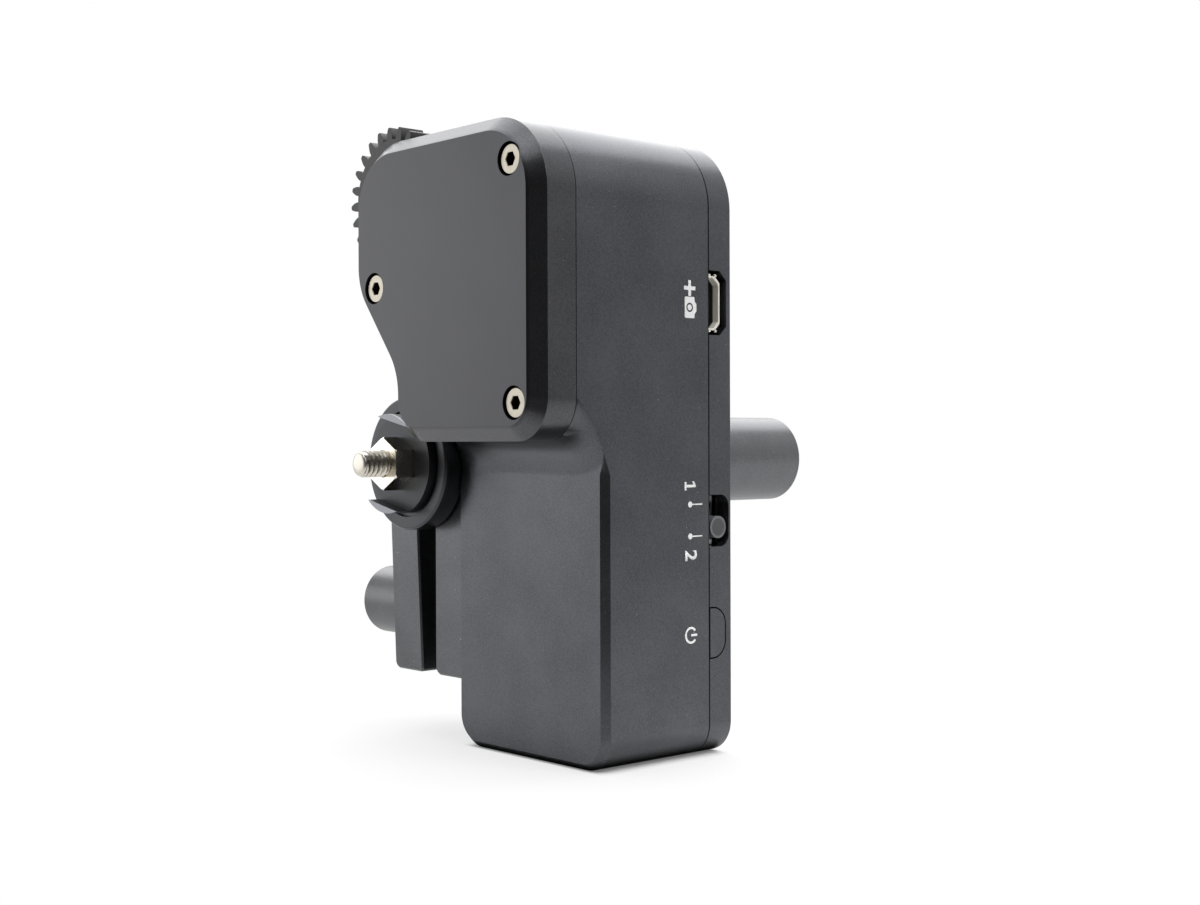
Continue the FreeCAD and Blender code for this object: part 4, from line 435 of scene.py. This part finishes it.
SHELL_BLACK = blasted_black("blasted_black", roughness=0.33, seams=(seam_y,))
BACK_BLACK = blasted_black("back_black", roughness=0.33, seams=(seam_y,))
# Painted light: the clamp block is a lighter copy of the housing's black, standing in for more
# light on its leaves.
CLAMP_LIT_BLACK = blasted_black("clamp_lit_black", shade=(0.112, 0.114, 0.122))
COVER_BLACK = blasted_black("cover_black", shade=(0.088, 0.089, 0.096), roughness=0.30,
                            seams=(cover_high.y,), front=cover_low.y)
GEAR_PLASTIC = moulded("gear_plastic", (0.040, 0.040, 0.042), roughness=0.48)
NICKEL = plated("nickel", (0.86, 0.82, 0.73), 0.24)
STUD_NICKEL = plated("stud_nickel", (0.66, 0.62, 0.55), 0.27)
BLACK_OXIDE = ground("black_oxide", (0.05, 0.05, 0.052), roughness=0.4)
SCREW_SINK = 0.34 * MM                  # how far the screw heads lie below the cover's face
SCREW_NICKEL = socketed("screw_nickel", (0.43, 0.40, 0.335), 0.30, cover_low.y + SCREW_SINK)
STEEL = ground("ground_steel", (0.62, 0.62, 0.63))
BRONZE = ground("sintered_bronze", (0.62, 0.43, 0.20), roughness=0.42)
MAGNET = moulded("magnet", (0.09, 0.09, 0.10), roughness=0.45)
BRIGHT_SHEET = plated("bright_sheet", (0.84, 0.84, 0.82), 0.2)
TONGUE = moulded("socket_tongue", (0.050, 0.058, 0.050), roughness=0.4)
SOCKET_PLATE = plated("socket_plate", (0.95, 0.92, 0.84), 0.46, wear=0.04, metallic=0.10,
                      mouth=usb_high.x)
BLACK_PLASTIC = moulded("switch_plastic", (0.025, 0.025, 0.027), roughness=0.42)
# Painted light: the slider is a lighter copy of the black switch plastic, standing in for light on
# its post.
SLIDER_LIT_PLASTIC = moulded("slider_lit_plastic", (0.064, 0.065, 0.070), roughness=0.36,
                      rim=(post_axis, POST_RADIUS))
CHIP = moulded("chip_epoxy", (0.02, 0.02, 0.02), roughness=0.6)
CELL = plated("cell_foil", (0.60, 0.61, 0.63), 0.38)
FOAM = moulded("black_foam", (0.03, 0.03, 0.03), roughness=0.9, grain_size=0.35)
LEAD = moulded("silicone_lead", (0.42, 0.02, 0.02), roughness=0.45)
BOARD = solder_mask("solder_mask")
PRINT = printed_white("white_print")
ROD_BLACK = blasted_black("rod_black", shade=(0.142, 0.145, 0.153), roughness=0.34)
HEAD_BLACK = turned_black("head_black", (0.066, 0.068, 0.073), 0.42, crest=head_low.y)
RING_BLACK = turned_black("ring_black", (0.064, 0.066, 0.071), 0.36)
KNOB_BLACK = blasted_black("knob_black", shade=(0.120, 0.122, 0.128), roughness=0.34)


# ------------------------------------------------------------------ metal shells and hardware

# Each row has the node and the radius of its rounded edges, in mm.


def shells():
    """Housing, covers, clamp block and button: milled, blasted and anodised."""
    for node, radius, material in (("main_housing", 0.12, SHELL_BLACK),
                                   ("gear_cover", 0.16, COVER_BLACK),
                                   ("back_cover", 0.10, BACK_BLACK),
                                   ("clamp_block", 0.12, CLAMP_LIT_BLACK),
                                   ("power_button", 0.10, SHELL_BLACK)):
        body = "button" if node == "power_button" else "housing"
        piece = softened(node, node + "_shell", radius * MM)
        finish_piece(piece, body, material)


def hardware():
    """Turned parts, screws, socket, gear and slider."""
    for node, body, slot, radius, material in (
            ("clamp_knob", "knob", "anodised_shell", 0.12, KNOB_BLACK),
            ("mounting_rod", "rod", "anodised_rod", 0.10, ROD_BLACK),
            ("stop_ring", "ring", "anodised_rod", 0.10, RING_BLACK),
            ("rod_head", "rod", "anodised_rod", 0.20, HEAD_BLACK),
            ("clamp_washer", "washer", "steel", 0.08, BLACK_OXIDE),
            ("lock_nut", "nut", "nickel_screw", 0.10, NICKEL),
            ("cover_screws", "housing", "nickel_screw", 0.09, SCREW_NICKEL),
            ("back_cover_screws", "housing", "black_screw", 0.05, BLACK_OXIDE),
            ("usb_shell", "housing", "bright_sheet", 0.06, SOCKET_PLATE),
            ("drive_gear", "drive", "gear_plastic", 0.09, GEAR_PLASTIC),
            ("mode_slider", "slider", "switch_plastic", 0.34, SLIDER_LIT_PLASTIC)):
        piece = softened(node, node + "_piece", radius * MM)
        finish_piece(piece, body, material)


def threaded_stud():
    """The stud with its real thread: a domed point, a core and a helical ridge."""
    centre = (stud_low + stud_high) / 2
    outer = (stud_high.x - stud_low.x) / 2
    pitch = 0.8 * MM
    core = outer - 0.36 * MM
    point_radius = outer - 0.22 * MM
    point_length = 1.00 * MM
    dome = 0.30 * MM                    # height of the point's domed end
    lead = 0.75 * MM                    # how far the thread runs up onto the point
    length = stud_high.y - stud_low.y
    tip = stud_low.y

    bpy.ops.object.select_all(action="DESELECT")
    bpy.ops.mesh.primitive_cylinder_add(
        vertices=64, radius=point_radius, depth=point_length - dome,
        location=(centre.x, tip + (point_length + dome) / 2, centre.z),
        rotation=(math.pi / 2, 0, 0))
    point = settle(named("stud_point"))
    choose_faces(point, lambda middle, normal: normal.y < -0.9)
    for rise, inset in ((0.12, 0.048), (0.10, 0.144), (0.06, 0.432), (0.02, 0.720)):
        bpy.ops.mesh.extrude_region_move(
            TRANSFORM_OT_translate={"value": (0, -rise * MM, 0)})
        narrower = 1 - inset * MM / point_radius
        bpy.ops.transform.resize(value=(narrower, 1, narrower))
    choose_faces(point, lambda middle, normal: normal.y > 0.9)
    bpy.ops.mesh.inset(thickness=0.18 * MM)
    bpy.ops.object.mode_set(mode="OBJECT")

    bpy.ops.object.select_all(action="DESELECT")
    bpy.ops.mesh.primitive_cylinder_add(
        vertices=48, radius=core, depth=length - point_length,
        location=(centre.x, tip + (length + point_length) / 2, centre.z),
        rotation=(math.pi / 2, 0, 0))
    shank = settle(named("stud_core"))
    choose_faces(shank, lambda middle, normal: normal.y > 0.9)
    bpy.ops.mesh.inset(thickness=0.2 * MM)
    bpy.ops.object.mode_set(mode="OBJECT")

    # The ridge's section starts on the +X side and is swept round the axis and back.
    bpy.ops.object.select_all(action="DESELECT")
    bpy.ops.mesh.primitive_plane_add(size=1, location=(0, 0, 0))
    ridge = named("stud_ridge")
    root = core - 0.05 * MM             # the ridge is rooted in the core
    section = ((root, 0.0), (root, pitch * 0.90), (outer, pitch * 0.54), (outer, pitch * 0.36))
    for index, (reach, climb) in zip(ridge.data.polygons[0].vertices, section):
        ridge.data.vertices[index].co = (reach, 0.0, climb)
    turns = int((length - point_length + lead - pitch) / pitch)
    use(ridge, "SCREW", angle=2 * math.pi, screw_offset=pitch, iterations=turns, steps=40,
        render_steps=40, use_merge_vertices=False, axis="Z")
    pick(ridge)
    bpy.ops.object.mode_set(mode="EDIT")
    bpy.ops.mesh.select_all(action="SELECT")
    bpy.ops.mesh.fill_holes(sides=8)
    bpy.ops.object.mode_set(mode="OBJECT")
    ridge.matrix_world = (Matrix.Translation((centre.x, tip + point_length - lead, centre.z))
                          @ Matrix.Rotation(-math.pi / 2, 4, "X"))
    settle(ridge)
    stud = joined("stud_thread", shank, point, ridge)
    facing_out(stud)
    smooth(stud, 35)
    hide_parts("mounting_stud")
    finish_piece(stud, "rod", STUD_NICKEL)


def socket_lips():
    """Four flared tabs at the short sides of the charging socket's mouth."""
    lips = []
    for up in (1, -1):
        end = usb_middle.z + up * (usb_high.z - usb_middle.z - 0.08 * MM)
        for back in (0.50 * MM, 1.75 * MM):
            bpy.ops.object.select_all(action="DESELECT")
            bpy.ops.mesh.primitive_cube_add(size=1)
            lip = named("socket_lip")
            lip.scale = (0.42 * MM, 0.46 * MM, 0.26 * MM)
            lip.location = (usb_high.x - 0.15 * MM, usb_low.y + back, end)
            lips.append(flared(settle(lip), up))
    lips = joined("socket_lips", *lips)
    smooth(lips, 40)
    finish_piece(lips, "housing", NICKEL)


def flared(lip, up):
    """Widens a tab towards the mouth and bends it outwards, up or down."""
    choose_faces(lip, lambda centre, normal: normal.x > 0.9)
    bpy.ops.transform.resize(value=(1, 1.35, 1.5))
    bpy.ops.transform.translate(value=(0, 0, up * 0.16 * MM))
    bpy.ops.object.mode_set(mode="OBJECT")
    return use(lip, "BEVEL", width=0.06 * MM, segments=2, limit_method="ANGLE",
               angle_limit=math.radians(30))


# ------------------------------------------------------------------ printed marks

# A mark is drawn in XY, with its +X towards the base and its +Y towards the back.

PRINT_HEIGHT = 0.02 * MM
mark_y = seam_y - 3.80 * MM
upper_dot_z = slider_middle.z + 3.4 * MM
lower_dot_z = slider_middle.z - 1.1 * MM


def thickened(mark):
    """Turns a flat mark's faces up and gives it the thickness of print."""
    choose_faces(mark, lambda middle, normal: normal.z < 0)
    bpy.ops.mesh.flip_normals()
    bpy.ops.object.mode_set(mode="OBJECT")
    return use(mark, "SOLIDIFY", thickness=PRINT_HEIGHT, offset=1.0)


def printed(mark, name, y, z):
    """Puts a mark, which has its thickness, on the side wall."""
    pick(mark)
    named(name)
    mark.matrix_world = Matrix(((0, 0, 1, side_x), (0, 1, 0, y), (-1, 0, 0, z), (0, 0, 0, 1)))
    settle(mark)
    facing_out(mark)
    finish_piece(mark, "housing", PRINT)


def outline_mark(points, rounding):
    """A flat shape in XY with these corners, in metres, all rounded."""
    bpy.ops.object.select_all(action="DESELECT")
    bpy.ops.mesh.primitive_circle_add(vertices=len(points), radius=MM, fill_type="NGON",
                                      location=(0, 0, 0))
    shape = bpy.context.object
    for index, (x, y) in zip(shape.data.polygons[0].vertices, points):
        shape.data.vertices[index].co = (x, y, 0)
    return use(shape, "BEVEL", affect="VERTICES", width=rounding, segments=4,
               limit_method="NONE")


def one_mark():
    """A 1 with a flag and a foot."""
    stem, foot, low, high = 0.18 * MM, 0.60 * MM, -1.10 * MM, 1.10 * MM
    points = ((foot, low), (foot, low + 2 * stem), (stem, low + 2 * stem), (stem, high),
              (-0.10 * MM, high), (-0.68 * MM, 0.74 * MM), (-0.62 * MM, 0.42 * MM),
              (-stem, 0.64 * MM), (-stem, low + 2 * stem), (-foot, low + 2 * stem),
              (-foot, low))
    mark = outline_mark(points, 0.04 * MM)
    printed(thickened(mark), "print_number_1", mark_y, upper_dot_z + 2.6 * MM)


def two_mark():
    height = 2.2 * MM
    bpy.ops.object.text_add(location=(0, 0, 0))
    letter = bpy.context.object
    letter.data.body = "2"
    letter.data.align_x = "CENTER"
    letter.data.align_y = "CENTER"
    letter.data.size = height / 0.70    # the font's figures are 0.70 of its size high
    letter.data.offset = 0.035 * height
    bpy.ops.object.convert(target="MESH")
    mark = bpy.context.object
    printed(thickened(mark), "print_number_2", mark_y, lower_dot_z - 2.7 * MM)


def leader_mark(name, z):
    """A dot with a line that runs towards the seam."""
    bpy.ops.object.select_all(action="DESELECT")
    bpy.ops.mesh.primitive_circle_add(vertices=40, radius=0.42 * MM, fill_type="NGON",
                                      location=(0, 0, 0))
    dot = bpy.context.object
    half, start, end = 0.09 * MM, 0.40 * MM, 2.40 * MM
    line = outline_mark(((-half, start), (half, start), (half, end), (-half, end)), 0.03 * MM)
    printed(thickened(joined(name, dot, line)), name, mark_y, z)


def arc_band(radius, width, gap):
    """A flat ring round the origin, open by gap radians at its +Y side."""
    bpy.ops.object.select_all(action="DESELECT")
    bpy.ops.mesh.primitive_circle_add(vertices=96, radius=radius - width / 2,
                                      fill_type="NOTHING", location=(0, 0, 0))
    band = bpy.context.object
    bpy.ops.object.mode_set(mode="EDIT")
    bpy.ops.mesh.select_mode(type="EDGE")
    bpy.ops.mesh.select_all(action="SELECT")
    bpy.ops.mesh.extrude_region_move()
    grow = (radius + width / 2) / (radius - width / 2)
    bpy.ops.transform.resize(value=(grow, grow, 1))
    if gap:
        choose_faces(band, lambda middle, normal:
                     abs(math.atan2(middle.x, middle.y)) < gap / 2)
        bpy.ops.mesh.delete(type="FACE")
    bpy.ops.object.mode_set(mode="OBJECT")
    return band


def plus_mark():
    arm, half = 1.12 * MM, 0.27 * MM
    points = ((half, half), (arm, half), (arm, -half), (half, -half), (half, -arm), (-half, -arm),
              (-half, -half), (-arm, -half), (-arm, half), (-half, half), (-half, arm),
              (half, arm))
    mark = outline_mark(points, 0.10 * MM)
    printed(thickened(mark), "print_plus", mark_y, usb_middle.z + 1.82 * MM)


def camera_mark():
    """A plain camera: a body with a hump, and a ring left bare round the lens."""
    half, low, high, hump = 1.50 * MM, -0.98 * MM, 0.96 * MM, 1.34 * MM
    points = ((half, low), (-half, low), (-half, high), (-0.86 * MM, high),
              (-0.56 * MM, hump), (0.56 * MM, hump), (0.86 * MM, high), (half, high))
    body = thickened(outline_mark(points, 0.20 * MM))
    lens = arc_band(0.54 * MM, 0.24 * MM, 0)
    use(lens, "SOLIDIFY", thickness=4 * PRINT_HEIGHT, offset=0.0)
    facing_out(body)
    facing_out(lens)
    use(body, "BOOLEAN", operation="DIFFERENCE", solver="EXACT", object=lens)
    bpy.data.objects.remove(lens)
    printed(body, "print_camera", mark_y, usb_middle.z - 0.90 * MM)


def power_mark():
    """A ring, open towards the button, with a bar in the opening."""
    ring = arc_band(1.04 * MM, 0.32 * MM, math.radians(78))
    half, end = 0.16 * MM, 1.22 * MM
    bar = outline_mark(((-half, 0.0), (half, 0.0), (half, end), (-half, end)), 0.05 * MM)
    mark = joined("print_power", ring, bar)
    printed(thickened(mark), "print_power", mark_y + 0.12 * MM, button_middle.z)


def marks():
    one_mark()
    two_mark()
    leader_mark("print_leader_upper", upper_dot_z)
    leader_mark("print_leader_lower", lower_dot_z)
    power_mark()
    plus_mark()
    camera_mark()


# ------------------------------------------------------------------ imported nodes

def packed_nodes():
    """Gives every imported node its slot's finish; finished pieces then replace the outer nodes."""
    finishes = {
        "steel": STEEL, "bronze_bush": BRONZE, "magnet": MAGNET, "bright_sheet": BRIGHT_SHEET,
        "socket_tongue": TONGUE, "switch_plastic": BLACK_PLASTIC, "board": BOARD, "chip": CHIP,
        "cell_wrap": CELL, "foam": FOAM, "lead_cover": LEAD, "gear_plastic": GEAR_PLASTIC,
        "nickel_screw": NICKEL, "black_screw": BLACK_OXIDE, "anodised_shell": SHELL_BLACK,
        "anodised_rod": ROD_BLACK,
    }
    for entry in frame["record"]["subparts"]:
        thing = frame["nodes"][entry["node"]]
        thing.data.materials.clear()
        thing.data.materials.append(finishes[entry["material_slot"]])


# ------------------------------------------------------------------ stage, light and camera

OPEN_SIDE = (0.744, -0.668, 0.0)      # towards the studio's dark side, between the two faces
WHITE = (1, 1, 1, 1)


def floor():
    """A pale floor: white where the camera sees it far off, and dark in mirrors on one side."""
    bpy.ops.mesh.primitive_plane_add(size=8, location=(0, 0, base_z))
    plane = named("floor")
    finish = Finish("pale_floor")
    seen = finish.node("ShaderNodeLightPath", output="Is Camera Ray")
    mirrored = finish.node("ShaderNodeLightPath", output="Is Glossy Ray")
    away = finish.node("ShaderNodeVectorMath", {"operation": "LENGTH"}, {0: finish.place},
                       output="Value")
    forward = finish.node("ShaderNodeVectorMath", {"operation": "DOT_PRODUCT"},
                          {0: finish.place, 1: OPEN_SIDE}, output="Value")
    dark_side = finish.ramp(forward, 0.0, 120 * MM)

    # Painted contact shadow under the base's rounded edges: the floor there is darker for the
    # camera and dark in reflections.
    foot = (finish.ramp(finish.along("x"), 13.8 * MM, 16.8 * MM, 1.0, 0.0)
            * finish.ramp(finish.along("x"), -16.0 * MM, -13.0 * MM)
            * finish.ramp(finish.along("y"), -12.8 * MM, -11.8 * MM)
            * finish.ramp(finish.along("y"), 11.8 * MM, 12.8 * MM, 1.0, 0.0))

    # Dark in reflections on the dark side, and with the painted contact shadow near the base.
    dim = (dark_side * (1 - seen) + foot * mirrored).clamped(0.0, 1.0)
    matt = finish.node("ShaderNodeBsdfDiffuse", {}, {
        "Color": finish.blend(dim, (0.86, 0.86, 0.86), (0.03, 0.03, 0.03))})
    glow = finish.node("ShaderNodeEmission", {}, {"Color": WHITE, "Strength": 1.0})
    # The painted contact shadow also lowers the glow that the camera sees near the base.
    far = finish.ramp(away, 28 * MM, 76 * MM, 0.64, 1.0) - foot * 0.5
    clear = finish.ramp(away, 26 * MM, 46 * MM)
    distant = finish.ramp(away, 110 * MM, 200 * MM, 0.0, 0.13)
    glowing = seen * far + mirrored * (clear * (1 - dark_side) * 0.95 + distant * dark_side)
    plane.data.materials.append(
        finish.shown(finish.node("ShaderNodeMixShader", {}, {0: glowing, 1: matt, 2: glow})))


def surroundings():
    """White all round, and dark on the side that the two visible faces look away from."""
    studio = Finish("studio", world=True)
    seen = studio.node("ShaderNodeLightPath", output="Is Camera Ray")
    facing = studio.node("ShaderNodeVectorMath", {"operation": "DOT_PRODUCT"},
                         {0: studio.place, 1: OPEN_SIDE}, output="Value")
    shade = studio.ramp(facing, -0.25, 0.62, 1.0, 0.05)
    strength = studio.node("ShaderNodeMix", {}, {"Factor": seen, "A": shade, "B": 1.0})
    bpy.context.scene.world = studio.shown(
        studio.node("ShaderNodeBackground", {}, {"Color": WHITE, "Strength": strength}))


def lamp(name, place, size, power):
    """A softbox that is turned to the motor's middle."""
    light = bpy.data.lights.new(name, "AREA")
    light.shape = "RECTANGLE"
    light.size, light.size_y = size
    light.energy = power
    thing = bpy.data.objects.new(name, light)
    bpy.context.scene.collection.objects.link(thing)
    thing.location = place
    aim = Vector((0, 0, 45 * MM)) - Vector(place)
    thing.rotation_euler = aim.to_track_quat("-Z", "Y").to_euler()
    thing.visible_camera = False


def lights():
    lamp("top_softbox", (-0.30, 0.25, 0.62), (1.0, 1.0), 6.0)
    lamp("right_softbox", (0.48, 0.05, 0.55), (0.45, 0.45), 2.6)
    lamp("left_softbox", (-0.75, -0.48, 0.10), (0.55, 0.50), 0.9)
    lamp("front_softbox", (0.05, -0.36, 0.60), (0.35, 0.35), 0.9)


CAMERA_PLACE = Vector((179.58, -159.66, 45.16)) * MM
AZIMUTH, PITCH, ROLL = (math.radians(value) for value in (48.090, -0.409, -0.182))


def camera():
    forward = Vector((-math.sin(AZIMUTH) * math.cos(PITCH), math.cos(AZIMUTH) * math.cos(PITCH),
                      math.sin(PITCH)))
    level = Vector((math.cos(AZIMUTH), math.sin(AZIMUTH), 0))
    above = level.cross(forward)
    right = math.cos(ROLL) * level + math.sin(ROLL) * above
    up = -math.sin(ROLL) * level + math.cos(ROLL) * above
    lens = bpy.data.cameras.new("camera")
    lens.sensor_width = 36.0
    lens.sensor_fit = "HORIZONTAL"
    lens.lens = 49.108
    lens.clip_start = 0.01
    eye = bpy.data.objects.new("camera", lens)
    bpy.context.scene.collection.objects.link(eye)
    turn = Matrix((right, up, -forward)).transposed().to_4x4()
    eye.matrix_world = Matrix.Translation(CAMERA_PLACE) @ turn
    bpy.context.scene.camera = eye


camera()
floor()
surroundings()
lights()
packed_nodes()
shells()
hardware()
threaded_stud()
socket_lips()
marks()
bpy.context.scene.view_settings.view_transform = "Standard"
